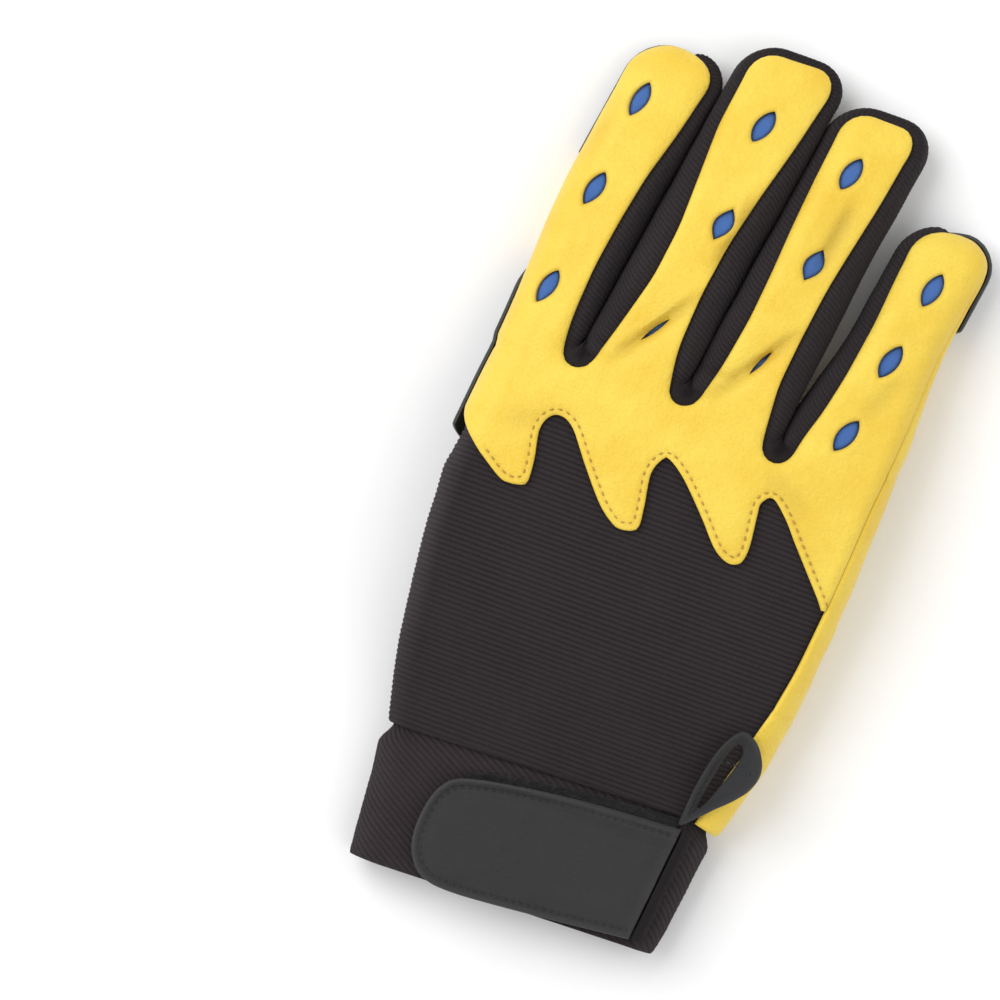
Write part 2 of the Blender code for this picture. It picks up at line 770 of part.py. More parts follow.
def flat_lattice():
    """Places over the flat middle of the hand and along the middle of each finger."""
    places = []
    for v in np.arange(0, PALM_LENGTH, FLAT_PITCH):
        for x in np.arange(-HAND_WIDTH / 2, HAND_WIDTH / 2, FLAT_PITCH):
            places.append((x, v))
    places = np.array(places)
    reach = nearest(HAND_LINE, HAND_OUT, places)[2]
    places = [tuple(p) for p in places[reach < -0.5 * FLAT_PITCH]]
    for finger in FINGERS:
        for v in steps_between(PALM_LENGTH, PALM_LENGTH + finger.length - RIM - ALONG / 2):
            middle = (side_of_finger(finger, v, True) + side_of_finger(finger, v, False)) / 2
            places.append((middle, v))
    return places


def slot_loops():
    """The eye slots of the back leather."""
    loops = []
    for slot in SLOTS:
        finger = next(f for f in FINGERS if f.name == slot.finger)
        x = slot.x * HAND_WIDTH
        v = PALM_LENGTH + slot.along * finger.length
        a = math.radians(90 - slot.tilt)
        loop = []
        for long, wide in SLOT_LENS:
            p = long * slot.long * HAND_WIDTH / 2
            q = wide * slot.wide * HAND_WIDTH / 2
            loop.append((x + p * math.cos(a) - q * math.sin(a), v + p * math.sin(a) + q * math.cos(a)))
        loops.append(loop)
    return loops


def tongue_edge():
    """Lower edge of the back leather from the thumb side to the little finger side."""
    rows = list(EDGE_START)
    for n, (x, v) in enumerate(EDGE_TONGUES):
        wave = EDGE_WAVE_END if n == len(EDGE_TONGUES) - 1 else EDGE_WAVE
        rows += [(x + dx, v + dv) for dx, dv in wave]
    return placed(rows)


def add_back_leather():
    left_foot = 0.81 * PALM_LENGTH
    right_foot = SIDE_SEAM[3][0] * PALM_LENGTH
    stops = stops_where(lambda run, finger, v: v >= (left_foot if run == "left" else right_foot))
    outline = [beyond(k, BACK_EDGE[k]) for k in stops]
    outline += divided(list(reversed(tongue_edge())) + outline[:1], ACROSS, closed=False)
    inner = rim_lattice(HAND_LINE, HAND_OUT, 4) + flat_lattice()
    add_sheet("back_leather", outline, LEATHER_SPAN, on_back, "yellow_leather", inner, slot_loops())


def floor_place(x, v):
    """Laid out place, in the back cloth, of a point on the underside."""
    turn = left_line(v)
    return 2 * turn - math.pi * RIM - x, v


def back_cloth_outline():
    """Back cloth: over the back, round the thumb side, and as the thumb's back up to its nail."""
    top = 0.91 * PALM_LENGTH
    corner = 0.70 * PALM_LENGTH
    nail = placed(NAIL_EDGE)
    right = [
        beyond(k, BACK_EDGE[k] + LAP / RIM)
        for k in stops_where(lambda run, finger, v: run == "right" and 0.03 * PALM_LENGTH < v <= top)
    ]
    outline = list(reversed(right))
    outline += [
        (left_line(top), top),
        (left_line(0.82 * PALM_LENGTH) - 1.1 * RIM, 0.82 * PALM_LENGTH),
        (left_line(corner) - 1.5 * RIM, corner),
        (left_line(corner) - math.pi * RIM, 0.97 * corner),
    ]
    reach = np.array([p for p in THUMB_LINE])
    tip = int(reach[:, 1].argmax())
    saddle = [tuple(p) for p in reach[:tip] if p[0] > left_line(p[1]) + 2 * LAP and p[1] < nail[0][1] + LAP]
    strip = [tuple(p) for p in reach[tip:] if 0.03 * PALM_LENGTH < p[1] < nail[-1][1] + LAP]
    crossing = [(x, v + 2 * LAP) for x, v in nail[1:-1]]
    outline += [floor_place(x, v) for x, v in saddle + crossing + strip]
    outline += [floor_place(strip[-1][0] - LAP, 0.0)]
    outline += [(left_line(0.0) - math.pi * RIM, 0.0), (left_line(0.0), 0.0)]
    outline += [(right[-1][0] - LAP, seam_place(right[-1][0]))]
    return divided(outline, OUTLINE_PITCH)


def back_cloth_lattice():
    """Places of the back cloth: close together round the thumb side, wider apart elsewhere."""
    places = []
    for v in np.arange(FLAT_PITCH / 2, PALM_LENGTH, FLAT_PITCH):
        turn = left_line(v)
        places += [(turn - k * ACROSS, v) for k in range(round(math.pi * RIM / ACROSS) + 1)]
        places += [(x, v) for x in np.arange(turn + FLAT_PITCH, side_of_hand(v, 2) - RIM - ACROSS, FLAT_PITCH)]
        places += [(side_of_hand(v, 2) - RIM + k * ACROSS, v) for k in range(3)]
        places += [floor_place(x, v) for x in np.arange(turn + FLAT_PITCH, 0.2 * HAND_WIDTH, FLAT_PITCH)]
    return places


def add_back_fabric():
    add_sheet(
        "back_fabric", back_cloth_outline(), CLOTH_SPAN, on_thumb_side, "ribbed_cloth", back_cloth_lattice()
    )


def add_slot_liners():
    """Blue cloth strips under the slots."""
    loops = slot_loops()
    for finger in FINGERS:
        own = [loops[n] for n, slot in enumerate(SLOTS) if slot.finger == finger.name]
        middles = [np.mean(loop, axis=0) for loop in own][::-1]
        low, high = middles[0][1] - 3 * LAP, middles[-1][1] + 3.5 * LAP
        rows = []
        for v in steps_between(low, high):
            x = np.interp(v, [p[1] for p in middles], [p[0] for p in middles])
            rows.append([(x + LINER_WIDTH * (c / 2 - 0.5), v) for c in range(3)])
        add_strip(f"slot_liner_{finger.name}", rows, CLOTH_SPAN, on_back, "blue_cloth")


def add_fourchettes():
    """Side walls of the fingers: each runs down one finger, round the crotch and up the next."""
    for i in range(len(FINGERS) - 1):
        names = (FINGERS[i].name, FINGERS[i + 1].name)
        first = max(stops_where(lambda run, finger, v: run == "tip" and finger == i))
        last = min(stops_where(lambda run, finger, v: run == "tip" and finger == i + 1))
        rows = []
        for k in range(first, last + 1):
            low = BACK_EDGE[k] - LAP / RIM
            high = math.pi - PALM_EDGE[k] + LAP / RIM
            rows.append([(k, low + (high - low) * c / 5) for c in range(6)])
        add_strip(f"fourchette_{names[0]}_{names[1]}", rows, CLOTH_SPAN, on_stop, "ribbed_cloth")


def on_stop(places, depth):
    """Wraps places given as a stop's number and an angle round its side."""
    k = np.array([place[0] for place in places])
    angle = np.array([place[1] for place in places])
    return round_side(HAND_LINE[k], HAND_OUT[k], angle, depth)


def index_pad_outline():
    inner_edge = placed(INDEX_PAD_INNER)
    top, foot = inner_edge[0][1], 0.76 * PALM_LENGTH
    stops = stops_where(lambda run, finger, v: run in ("left", "outer") and finger == 0 and foot <= v <= top)
    outline = [beyond(k, 3 * ACROSS / RIM) for k in stops]
    return outline + divided(rounded(inner_edge + placed(INDEX_PAD_FOOT)) + outline[:1], ACROSS, closed=False)


def add_palm_leather():
    foot = 0.02 * PALM_LENGTH
    left_foot = 0.75 * PALM_LENGTH
    stops = stops_where(lambda run, finger, v: v >= (left_foot if run == "left" else foot))
    outline = [beyond(k, PALM_EDGE[k]) for k in stops]
    outline += [beyond(stops[-1], 0.0)]
    outline += list(reversed(rounded(placed(CREASE))))
    inner = rim_lattice(HAND_LINE, HAND_OUT, 7) + flat_lattice() + index_pad_outline()
    add_sheet("palm_leather", divided(outline, 1.3 * OUTLINE_PITCH), LEATHER_SPAN, on_palm, "yellow_leather", inner)


def add_fingertip_caps():
    for i, finger in enumerate(FINGERS):
        left, right = (PALM_LENGTH + finger.length * (1 - reach) for reach in CAPS[finger.name])
        tips = stops_where(lambda run, number, v: run == "tip" and number == i)
        centre = HAND_LINE[tips[2]][0]
        stops = [
            k
            for k in stops_where(lambda run, number, v: number == i and run in ("side", "outer", "tip"))
            if HAND_LINE[k][1] > (left if HAND_LINE[k][0] < centre else right)
        ]
        if i == len(FINGERS) - 1:
            angles = [min(PALM_EDGE[k], 1.55) for k in stops]
        else:
            angles = [min(PALM_EDGE[k] - 0.08, 1.15) for k in stops]
        outline = [beyond(k, a) for k, a in zip(stops, angles)]
        a = beyond(stops[-1], angles[-1])
        b = beyond(stops[0], angles[0])
        outline += divided([outline[-1], (a[0], right), (b[0], left), outline[0]], ACROSS, closed=False)[1:]
        inner = rim_lattice(HAND_LINE, HAND_OUT, 4) + flat_lattice()
        add_sheet(f"fingertip_cap_{finger.name}", outline, PAD_SPAN, on_palm, "grey_pad", inner)


def add_index_side_pad():
    inner = rim_lattice(HAND_LINE, HAND_OUT, 3) + flat_lattice()
    add_sheet("index_side_pad", index_pad_outline(), PAD_SPAN, on_palm, "grey_pad", inner, clear=0.2 * ACROSS)


def add_palm_pads():
    for name, rows in (("finger_base_pad", FINGER_BASE_PAD), ("heel_pad", HEEL_PAD)):
        outline = rounded(placed(rows), closed=True)
        add_sheet(name, outline, PAD_SPAN, on_palm, "grey_pad", flat_lattice(), clear=0.5 * FLAT_PITCH)
    x, v, radius = DOT_PAD
    outline = []
    for n in range(12):
        a = math.tau * n / 12
        outline.append(
            (x * HAND_WIDTH + radius * HAND_WIDTH * math.cos(a), v * PALM_LENGTH + radius * HAND_WIDTH * math.sin(a))
        )
    add_sheet("palm_dot_pad", outline, PAD_SPAN, on_palm, "grey_pad")


def thumb_beyond(k, angle):
    """The laid out place at an angle round the thumb's side from stop k of its rim line."""
    return tuple(THUMB_LINE[k] + THUMB_RIM * angle * THUMB_OUT[k])


def thumb_stops(low_saddle, low_strip):
    """Stops of the thumb's rim line above a height on the saddle side and on the strip side."""
    tip = int(THUMB_LINE[:, 1].argmax())
    saddle = [k for k in range(tip) if THUMB_LINE[k][1] >= low_saddle]
    strip = [k for k in range(tip, len(THUMB_LINE)) if THUMB_LINE[k][1] >= low_strip]
    return saddle, strip


def thumb_lattice(rings):
    """Places over the thumb: its flat middle and rings round its side."""
    places = []
    for v in np.arange(0, 1.15 * PALM_LENGTH, FLAT_PITCH):
        for x in np.arange(-HAND_WIDTH / 2, HAND_WIDTH / 4, FLAT_PITCH):
            places.append((x, v))
    places = np.array(places)
    reach = nearest(THUMB_LINE, THUMB_OUT, places)[2]
    places = [tuple(p) for p in places[reach < -0.4 * FLAT_PITCH]]
    step = math.pi * THUMB_RIM / 5
    for ring in range(rings + 1):
        places += [tuple(p + ring * step * n) for p, n in zip(THUMB_LINE, THUMB_OUT)]
    return places


def add_thumb_leather():
    """Inner side of the thumb. Its long edge rolls round and shows below as a narrow strip."""
    nail = NAIL_EDGE[-1][1] * PALM_LENGTH
    saddle, strip = thumb_stops(0.66 * PALM_LENGTH, 0.19 * PALM_LENGTH)
    saddle = [k for k in saddle if THUMB_LINE[k][0] > CREASE[0][0] * HAND_WIDTH + 3 * LAP]
    tip = [k for k in strip if THUMB_LINE[k][1] > nail - 2 * LAP]
    strip = [k for k in strip if THUMB_LINE[k][1] <= nail - 2 * LAP]
    outline = [thumb_beyond(k, 0.8 if THUMB_LINE[k][1] < 0.88 * PALM_LENGTH else 1.5) for k in saddle]
    outline += [thumb_beyond(k, 1.5) for k in tip]
    outline += [thumb_beyond(k, math.pi + 1.5 / THUMB_RIM) for k in strip]
    crease = [p for p in rounded(placed(CREASE))[1:] if p[1] > THUMB_LINE[strip[-1]][1]]
    outline += [thumb_beyond(strip[-1], 0.0)] + list(reversed(crease))
    add_sheet(
        "thumb_leather",
        divided(outline, ACROSS),
        LEATHER_SPAN,
        on_thumb_pulp,
        "yellow_leather",
        thumb_lattice(5),
        clear=0.2 * ACROSS,
    )


def add_thumb_nail_leather():
    nail = placed(NAIL_EDGE)
    saddle, strip = thumb_stops(nail[0][1] + LAP, nail[-1][1] + LAP)
    outline = [thumb_beyond(k, 0.9 if THUMB_LINE[k][1] < PALM_LENGTH else 1.45) for k in saddle]
    outline += [thumb_beyond(k, 1.45) for k in strip]
    outline += list(reversed(rounded(nail)))
    add_sheet(
        "thumb_nail_leather",
        divided(outline, ACROSS),
        LEATHER_SPAN,
        on_thumb_nail,
        "yellow_leather",
        thumb_lattice(1),
    )


def add_thumb_tip_cap():
    edge = placed(CAP_EDGE)
    saddle, strip = thumb_stops(edge[0][1] + LAP, edge[-1][1] + LAP)
    outline = [thumb_beyond(k, 1.15) for k in saddle + strip] + list(reversed(rounded(edge)))
    add_sheet(
        "thumb_tip_cap",
        divided(outline, ACROSS),
        PAD_SPAN,
        on_thumb_pulp,
        "grey_pad",
        thumb_lattice(1),
        clear=0.2 * ACROSS,
    )


def add_thumb_saddle_pad():
    """Dark pad round the thumb's side between thumb and index finger."""
    edge = placed(SADDLE_PAD_EDGE)
    saddle, _ = thumb_stops(0.0, 2 * PALM_LENGTH)
    saddle = [k for k in saddle if THUMB_LINE[k][1] < 0.90 * PALM_LENGTH][1:]
    outline = [thumb_beyond(k, 0.8 * math.pi) for k in saddle] + rounded(edge)
    add_sheet(
        "thumb_saddle_pad",
        divided(outline, ACROSS),
        PAD_SPAN,
        on_thumb_nail,
        "grey_pad",
        thumb_lattice(4),
        clear=0.2 * ACROSS,
    )


def cuff_levels():
    """Distances past the cuff's seam at which its rows stand, close together where it dips under."""
    dip = 0.32 * CUFF_LENGTH
    return [-dip * k / 4 for k in range(5)] + list(np.linspace(-dip, -CUFF_LENGTH, 4))[1:]


def cuff_side(x, v, way, depth):
    """The cuff's turn round one side, from back to palm."""
    angle = math.pi * np.arange(1, 5) / 5
    base = np.tile([x, v], (len(angle), 1))
    tuck = cuff_tuck(v - seam_place(x))
    return round_side(base, np.tile([way, 0.0], (len(angle), 1)), angle, depth + tuck)


def cuff_ring(level, depth):
    """One turn round the cuff: back, little finger side, palm and thumb side."""
    left, right = side_of_hand(level, 1) + RIM, side_of_hand(level, 2) - RIM
    across = np.linspace(left, right, 9)
    places = np.column_stack([across, level + seam_place(across)])
    back = on_cuff(places, depth)
    palm = on_cuff(places[::-1], depth, FRONT)
    little_side = cuff_side(right, level + seam_place(right), 1.0, depth)
    thumb_side = cuff_side(left, level + seam_place(left), -1.0, depth)
    return np.vstack([back, little_side, palm, thumb_side[::-1]])


def add_cuff():
    """Ribbed tube, open at both ends."""
    levels = [2 * LAP] + cuff_levels()
    rings = [cuff_ring(level, 0.0) for level in levels] + [cuff_ring(level, CLOTH) for level in reversed(levels)]
    around = len(rings[0])
    faces = []
    for r in range(len(rings)):
        for c in range(around):
            a, b = r * around + c, r * around + (c + 1) % around
            after = (r + 1) % len(rings) * around
            faces.append((a, b, after + (c + 1) % around, after + c))
    add_object("cuff", np.vstack(rings), faces, "ribbed_cloth")


def add_strap():
    """Closing strap, the fuzzy patch under it and the seam at its fixed end."""
    lattice = []
    for x in np.arange(-0.3 * HAND_WIDTH, 0.35 * HAND_WIDTH, FLAT_PITCH):
        lattice += [(x, level + seam_place(x)) for level in cuff_levels()]
    strap = placed(STRAP_OUTLINE, CUFF_LENGTH)
    fixed = strap[3:5]
    outline = divided(rounded(strap[4:] + strap[:4]), OUTLINE_PITCH)
    add_sheet("wrist_strap", outline, STRAP_SPAN, on_cuff, "strap_rubber", lattice)
    patch = divided(placed(PATCH_TOP + PATCH_FOOT, CUFF_LENGTH), OUTLINE_PITCH / 2)
    add_sheet("loop_patch", patch, PAD_SPAN, on_cuff, "fuzzy_patch", lattice)
    rows = []
    for v in steps_between(fixed[1][1], fixed[0][1]):
        x = np.interp(v, [fixed[1][1], fixed[0][1]], [fixed[1][0], fixed[0][0]]) + SEAM_GAP
        rows.append([(x, v), (x + BINDING_WIDTH, v)])
    add_strip("strap_end_binding", rows, BINDING_SPAN, on_cuff, "black_tape")


def on_loop(points, depth):
    """Wraps the pull loop, whose outer edge stands up like a funnel's."""
    points = np.asarray(points, float)
    slit = np.array(placed(LOOP_SLIT))
    away = edge_distance(points, [tuple(p) for p in slit])
    return on_back(points, depth - LOOP_RISE * smooth(away / (3 * LAP)))


def add_pull_loop():
    outline = rounded(placed(LOOP_OUTLINE), closed=True, pitch=0.7 * OUTLINE_PITCH)
    slit = rounded(placed(LOOP_SLIT), closed=True)
    add_sheet("pull_loop", outline, (-PAD_STACK, -SEAM_GAP), on_loop, "black_tape", holes=[slit])


def clear_scene():
    for item in list(bpy.context.scene.objects):
        bpy.data.objects.remove(item, do_unlink=True)


def set_origin():
    """Moves the meshes so that the middle of the underside is at the origin."""
    pieces = list(bpy.context.scene.objects)
    corners = np.array([vertex.co[:] for piece in pieces for vertex in piece.data.vertices])
    low, high = corners.min(axis=0), corners.max(axis=0)
    offset = np.array([(low[0] + high[0]) / 2, (low[1] + high[1]) / 2, low[2]])
    for piece in pieces:
        for vertex in piece.data.vertices:
            vertex.co = np.array(vertex.co[:]) - offset


def main():
    clear_scene()
    add_back_leather()
    add_back_fabric()
    add_slot_liners()
    add_fourchettes()
    add_palm_leather()
    add_fingertip_caps()
    add_index_side_pad()
    add_palm_pads()
    add_thumb_leather()
    add_thumb_nail_leather()
    add_thumb_tip_cap()
    add_thumb_saddle_pad()
    add_cuff()
    add_strap()
    add_pull_loop()
    set_origin()


main()
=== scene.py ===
"""Dresses the mechanic glove: a right-hand work glove that lies back up, thumb folded under.

The sheets of leather and cloth are laid out flat and wrapped on the glove's form, as they are sewn.
Lengths are in millimetres until a mesh is made. In a layout x is positive towards the little finger
and v runs from the cuff's seam to the fingertips. Depth runs inwards from the leather's outer face.
"""

from __future__ import annotations

import logging
import math
from dataclasses import dataclass, field
from enum import Enum
from typing import Callable, NamedTuple, Protocol, Sequence

import bpy
import numpy as np
from mathutils import Matrix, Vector
from mathutils.geometry import delaunay_2d_cdt


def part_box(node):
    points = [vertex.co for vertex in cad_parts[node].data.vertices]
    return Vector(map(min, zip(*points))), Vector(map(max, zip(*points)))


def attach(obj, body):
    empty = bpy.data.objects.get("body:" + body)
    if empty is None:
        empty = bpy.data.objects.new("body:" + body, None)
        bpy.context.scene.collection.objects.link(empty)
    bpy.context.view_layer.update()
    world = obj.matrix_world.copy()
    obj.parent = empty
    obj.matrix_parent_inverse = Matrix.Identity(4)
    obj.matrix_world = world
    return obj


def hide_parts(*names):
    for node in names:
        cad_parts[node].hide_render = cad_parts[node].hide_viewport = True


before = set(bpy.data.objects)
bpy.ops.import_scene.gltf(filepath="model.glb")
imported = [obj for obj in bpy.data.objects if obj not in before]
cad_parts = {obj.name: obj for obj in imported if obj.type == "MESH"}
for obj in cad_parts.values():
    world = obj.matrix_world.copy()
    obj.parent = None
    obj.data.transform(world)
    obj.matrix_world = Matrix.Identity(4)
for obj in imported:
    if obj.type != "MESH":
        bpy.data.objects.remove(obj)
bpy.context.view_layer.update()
LOG = logging.getLogger("glove")
METRES = 0.001
TINY = 1e-9  # keeps a division clear of zero
FAR = 99.0  # farther than any edge of a sheet, in millimetres
CHUNK = 4000  # points measured at once, which saves memory
ROW_STEP = 0.866  # distance between a lattice's rows, as a share of its pitch
WELD = 1e-5  # laid out points nearer than this become one
KEPT = 0.93  # a moved point stays if it keeps this share of its distance
CORNER_DEGREES = (15, 30, 45, 60, 75, 90)  # stops round a fingertip's corner
Places = np.ndarray
Numbers = np.ndarray | float
Rows = tuple[tuple[float, ...], ...]
Span = tuple[float, float]
Wrap = Callable[[Places, Numbers], Places]
Relief = Callable[[Places, np.ndarray], np.ndarray]


class Side(Enum):
    """Which face of the glove a sheet lies on."""

    BACK = 1
    PALM = -1


class Run(Enum):
    """Stretches of the line along which the glove's flat middle turns into its sides."""

    LEFT = "left"
    OUTER = "outer"
    FINGER = "finger"
    TIP = "tip"
    CROTCH = "crotch"
    RIGHT = "right"


class Finger(NamedTuple):
    """One finger: its length, and its sides at base and tip as shares of the hand's width."""

    name: str
    length: float
    left_base: float
    left_tip: float
    right_base: float
    right_tip: float


class Slot(NamedTuple):
    """One eye slot: place on its finger, size as shares of the hand's width, tilt and pointedness."""

    finger: str
    along: float
    x: float
    long: float
    wide: float
    tilt: float
    point: float


class Fold(NamedTuple):
    """A crease: place, direction, length and width as shares, depth in millimetres, steeper side."""

    x: float
    v: float
    degrees: float
    long: float
    wide: float
    deep: float
    steep: float


class Stop(NamedTuple):
    """One stop of a rim line."""

    x: float
    v: float
    run: Run
    finger: int


@dataclass(frozen=True)
class Sizes:
    """Driving sizes of the glove, in millimetres and as shares of its width and lengths."""

    hand_width: float = 116.0
    palm_length: float = 106.5
    cuff_length: float = 38.0
    hand_thickness: float = 20.0
    finger_thickness: float = 17.0
    wrist_thickness: float = 16.0
    thumb_thickness: float = 9.0
    tip_taper: float = 4.0
    finger_gap: float = 0.8
    finger_lean_degrees: float = 9.0
    crotch_rake: float = 11.0
    drape: float = 45.0
    leather: float = 1.2
    cloth: float = 1.0
    pad: float = 1.0
    strap: float = 1.8
    seam_gap: float = 0.6
    lap: float = 2.0
    fingers: tuple[Finger, ...] = (
        Finger("index", 92.5, -0.494, -0.528, -0.302, -0.302),
        Finger("middle", 101.5, -0.302, -0.302, -0.041, -0.041),
        Finger("ring", 94.5, -0.041, -0.041, 0.210, 0.203),
        Finger("little", 70.5, 0.210, 0.241, 0.497, 0.459),
    )
    crotches: tuple[float, ...] = (1.0, 1.0, 0.944)
    hand_sides: Rows = (
        (0.00, -0.433, 0.397), (0.12, -0.461, 0.425), (0.23, -0.479, 0.455), (0.36, -0.495, 0.475),
        (0.51, -0.509, 0.486), (0.66, -0.514, 0.494), (0.79, -0.502, 0.497), (0.96, -0.489, 0.499),
    )  # fmt: skip
    cuff_sides: Rows = (
        (0.0, -0.433, 0.397), (-0.4, -0.414, 0.380), (-0.8, -0.405, 0.365), (-1.0, -0.398, 0.352),
    )  # fmt: skip
    thumb_outline: Rows = (
        (-0.491, 0.700), (-0.431, 0.723), (-0.371, 0.751), (-0.315, 0.808), (-0.250, 0.892), (-0.172, 1.000),
        (-0.082, 1.085), (0.026, 1.117), (0.121, 1.085), (0.177, 1.000), (0.168, 0.906), (0.121, 0.808),
        (0.069, 0.714), (0.022, 0.610), (-0.026, 0.488), (-0.069, 0.366), (-0.103, 0.244), (-0.129, 0.141),
        (-0.142, 0.040),
    )  # fmt: skip
    crease: Rows = (
        (-0.440, 0.720), (-0.397, 0.629), (-0.319, 0.460), (-0.233, 0.300), (-0.172, 0.197), (-0.130, 0.122),
        (-0.118, 0.020),
    )  # fmt: skip
    nail_edge: Rows = ((-0.190, 0.885), (-0.130, 0.848), (-0.060, 0.790), (0.010, 0.735))
    folds: tuple[Fold, ...] = (
        Fold(-0.190, 1.15, 52, 0.190, 0.042, 1.4, 0.0),
        Fold(0.070, 1.15, 52, 0.180, 0.042, 1.4, 0.0),
        Fold(-0.075, 1.45, 92, 0.200, 0.045, 0.8, 0.0),
        Fold(0.165, 1.52, 100, 0.190, 0.045, 0.8, 0.0),
        Fold(-0.430, 0.95, 60, 0.140, 0.040, 0.9, 0.0),
        Fold(0.330, 0.62, 118, 0.300, 0.050, 1.0, 0.0),
        Fold(-0.250, 0.30, 150, 0.360, 0.055, 0.9, 0.0),
        Fold(0.120, 0.22, 25, 0.300, 0.055, 0.8, 0.0),
        Fold(-0.150, 1.165, 55, 0.240, 0.018, 1.7, 0.6),
        Fold(0.098, 1.165, 55, 0.240, 0.018, 1.7, 0.6),
        Fold(-0.045, 1.46, 78, 0.190, 0.022, 1.0, 0.5),
        Fold(0.175, 1.53, 80, 0.190, 0.022, 1.2, 0.5),
        Fold(0.020, 1.10, 40, 0.120, 0.022, 0.4, 0.3),
        Fold(0.410, 1.20, 64, 0.140, 0.024, 0.4, 0.3),
        Fold(-0.420, 1.62, 82, 0.160, 0.024, 0.35, 0.3),
        Fold(-0.330, 0.85, 20, 0.160, 0.030, 0.35, 0.2),
        Fold(0.280, 0.88, 150, 0.140, 0.030, 0.35, 0.2),
    )

    band_stations: tuple[float, ...] = (0.03, 0.15, 0.30, 0.45, 0.60, 0.75, 0.90)
    bands_left: Rows = (
        (4.0, 6.0, 8.0, 7.6, 5.4, 3.2, 3.0), (4.2, 5.6, 6.0, 5.2, 4.0, 3.2, 2.8), (4.6, 5.8, 5.4, 4.2, 3.6, 3.0, 2.8),
    )  # fmt: skip
    bands_right: Rows = (
        (4.4, 6.0, 7.2, 7.2, 6.6, 4.6, 3.4), (4.2, 7.0, 8.4, 8.4, 7.0, 5.0, 3.6), (5.0, 7.2, 7.5, 7.4, 6.4, 5.4, 5.0),
    )  # fmt: skip
    crotch_bands: tuple[float, float] = (4.1, 5.3)
    tip_bands: Rows = ((-3.0, 2.2), (2.0, 1.4), (1.8, 1.8), (1.6, -2.8))

    @property
    def rim(self) -> float:
        """Half a finger's thickness: the radius of the glove's sides."""
        return self.finger_thickness / 2

    @property
    def thumb_rim(self) -> float:
        """Half the thumb's thickness: the radius of its sides."""
        return self.thumb_thickness / 2

    @property
    def valley(self) -> float:
        """Distance from a finger's rim line to the middle of the gap beside it."""
        return self.rim + self.finger_gap / 2

    @property
    def pad_stack(self) -> float:
        """A pad's thickness and the gap under it."""
        return self.pad + self.seam_gap

    @property
    def cloth_depth(self) -> float:
        """How deep cloth lies that is lapped by leather."""
        return self.leather + self.seam_gap

    @property
    def cuff_tuck(self) -> float:
        """How deep the cuff's upper edge is tucked under the hand's sheets."""
        return self.cloth_depth + self.cloth + self.seam_gap

    @property
    def palm_lift(self) -> float:
        """How high the folded thumb holds the palm over the floor."""
        return self.thumb_thickness + 2 * self.pad_stack + self.seam_gap


def smooth(share: Numbers) -> np.ndarray:
    """Eases from 0 to 1."""
    t = np.clip(share, 0.0, 1.0)
    return t * t * (3 - 2 * t)


def rounded(points: Sequence[Sequence[float]], pitch: float = 1.2, closed: bool = False) -> Places:
    """Samples a smooth curve through some points.

    Args:
        points: The points it passes through.
        pitch: Distance between samples.
        closed: Whether it runs back to its start.

    Returns:
        The samples, one to a row.
    """
    points = np.array(points, float)
    count = len(points)
    curve = []
    for i in range(count if closed else count - 1):
        if closed:
            a, b, c, d = (points[(i + k) % count] for k in (-1, 0, 1, 2))
        else:
            a, b, c, d = (points[min(max(i + k, 0), count - 1)] for k in (-1, 0, 1, 2))
        steps = max(1, round(float(np.linalg.norm(c - b)) / pitch))
        t = (np.arange(steps) / steps)[:, None]
        curve.append(0.5 * (2 * b + (c - a) * t + (2 * a - 5 * b + 4 * c - d) * t**2 + (3 * b - a - 3 * c + d) * t**3))
    if not closed:
        curve.append(points[-1:])
    return np.vstack(curve)


def divided(path: Places, pitch: float = 1.2, closed: bool = True) -> Places:
    """Divides the long legs of a path.

    Args:
        path: Its corners.
        pitch: The longest leg that is left.
        closed: Whether it runs back to its start.

    Returns:
        The path with the added points.
    """
    ends = np.roll(path, -1, axis=0) if closed else path[1:]
    rows = []
    for a, b in zip(path, ends):
        count = max(1, round(float(np.linalg.norm(b - a)) / pitch))
        rows.append(a + (b - a) * (np.arange(count) / count)[:, None])
    if not closed:
        rows.append(path[-1:])
    return np.vstack(rows)


def resampled(path: Places, pitch: float) -> Places:
    """Evenly spaced places on an open path.

    Args:
        path: The path's points.
        pitch: The spacing wanted.

    Returns:
        The places, first and last kept.
    """
    legs = np.linalg.norm(np.diff(path, axis=0), axis=1)
    reach = np.concatenate([[0.0], np.cumsum(legs)])
    count = max(2, int(round(reach[-1] / pitch)) + 1)
    stops = np.linspace(0, reach[-1], count)
    return np.column_stack([np.interp(stops, reach, path[:, k]) for k in range(path.shape[1])])


def inside(points: Places, loop: Places) -> np.ndarray:
    """Whether each point lies inside a closed loop.

    Args:
        points: The points.
        loop: The loop's corners.

    Returns:
        One answer for each point.
    """
    hit = np.zeros(len(points), bool)
    x, y = points[:, 0], points[:, 1]
    for (ax, ay), (bx, by) in zip(loop, np.roll(loop, -1, axis=0)):
        if ay == by:
            continue
        hit ^= ((ay > y) != (by > y)) & (x < (bx - ax) * (y - ay) / (by - ay) + ax)
    return hit


def distance_to(points: Places, path: Places, closed: bool = False) -> np.ndarray:
    """Distance of each point to the nearest place of a path.

    Args:
        points: The points.
        path: The path's corners.
        closed: Whether the path runs back to its start.

    Returns:
        One distance for each point.
    """
    line = np.vstack([path, path[:1]]) if closed else path
    start, leg = line[:-1], np.diff(line, axis=0)
    size = np.maximum((leg**2).sum(axis=1), 1e-12)
    result = np.empty(len(points))
    for low in range(0, len(points), CHUNK):
        some = points[low : low + CHUNK]
        t = np.clip(((some[:, None] - start[None]) * leg[None]).sum(axis=2) / size, 0, 1)
        gap = some[:, None] - start[None] - t[..., None] * leg[None]
        result[low : low + CHUNK] = np.sqrt((gap**2).sum(axis=2).min(axis=1))
    return result


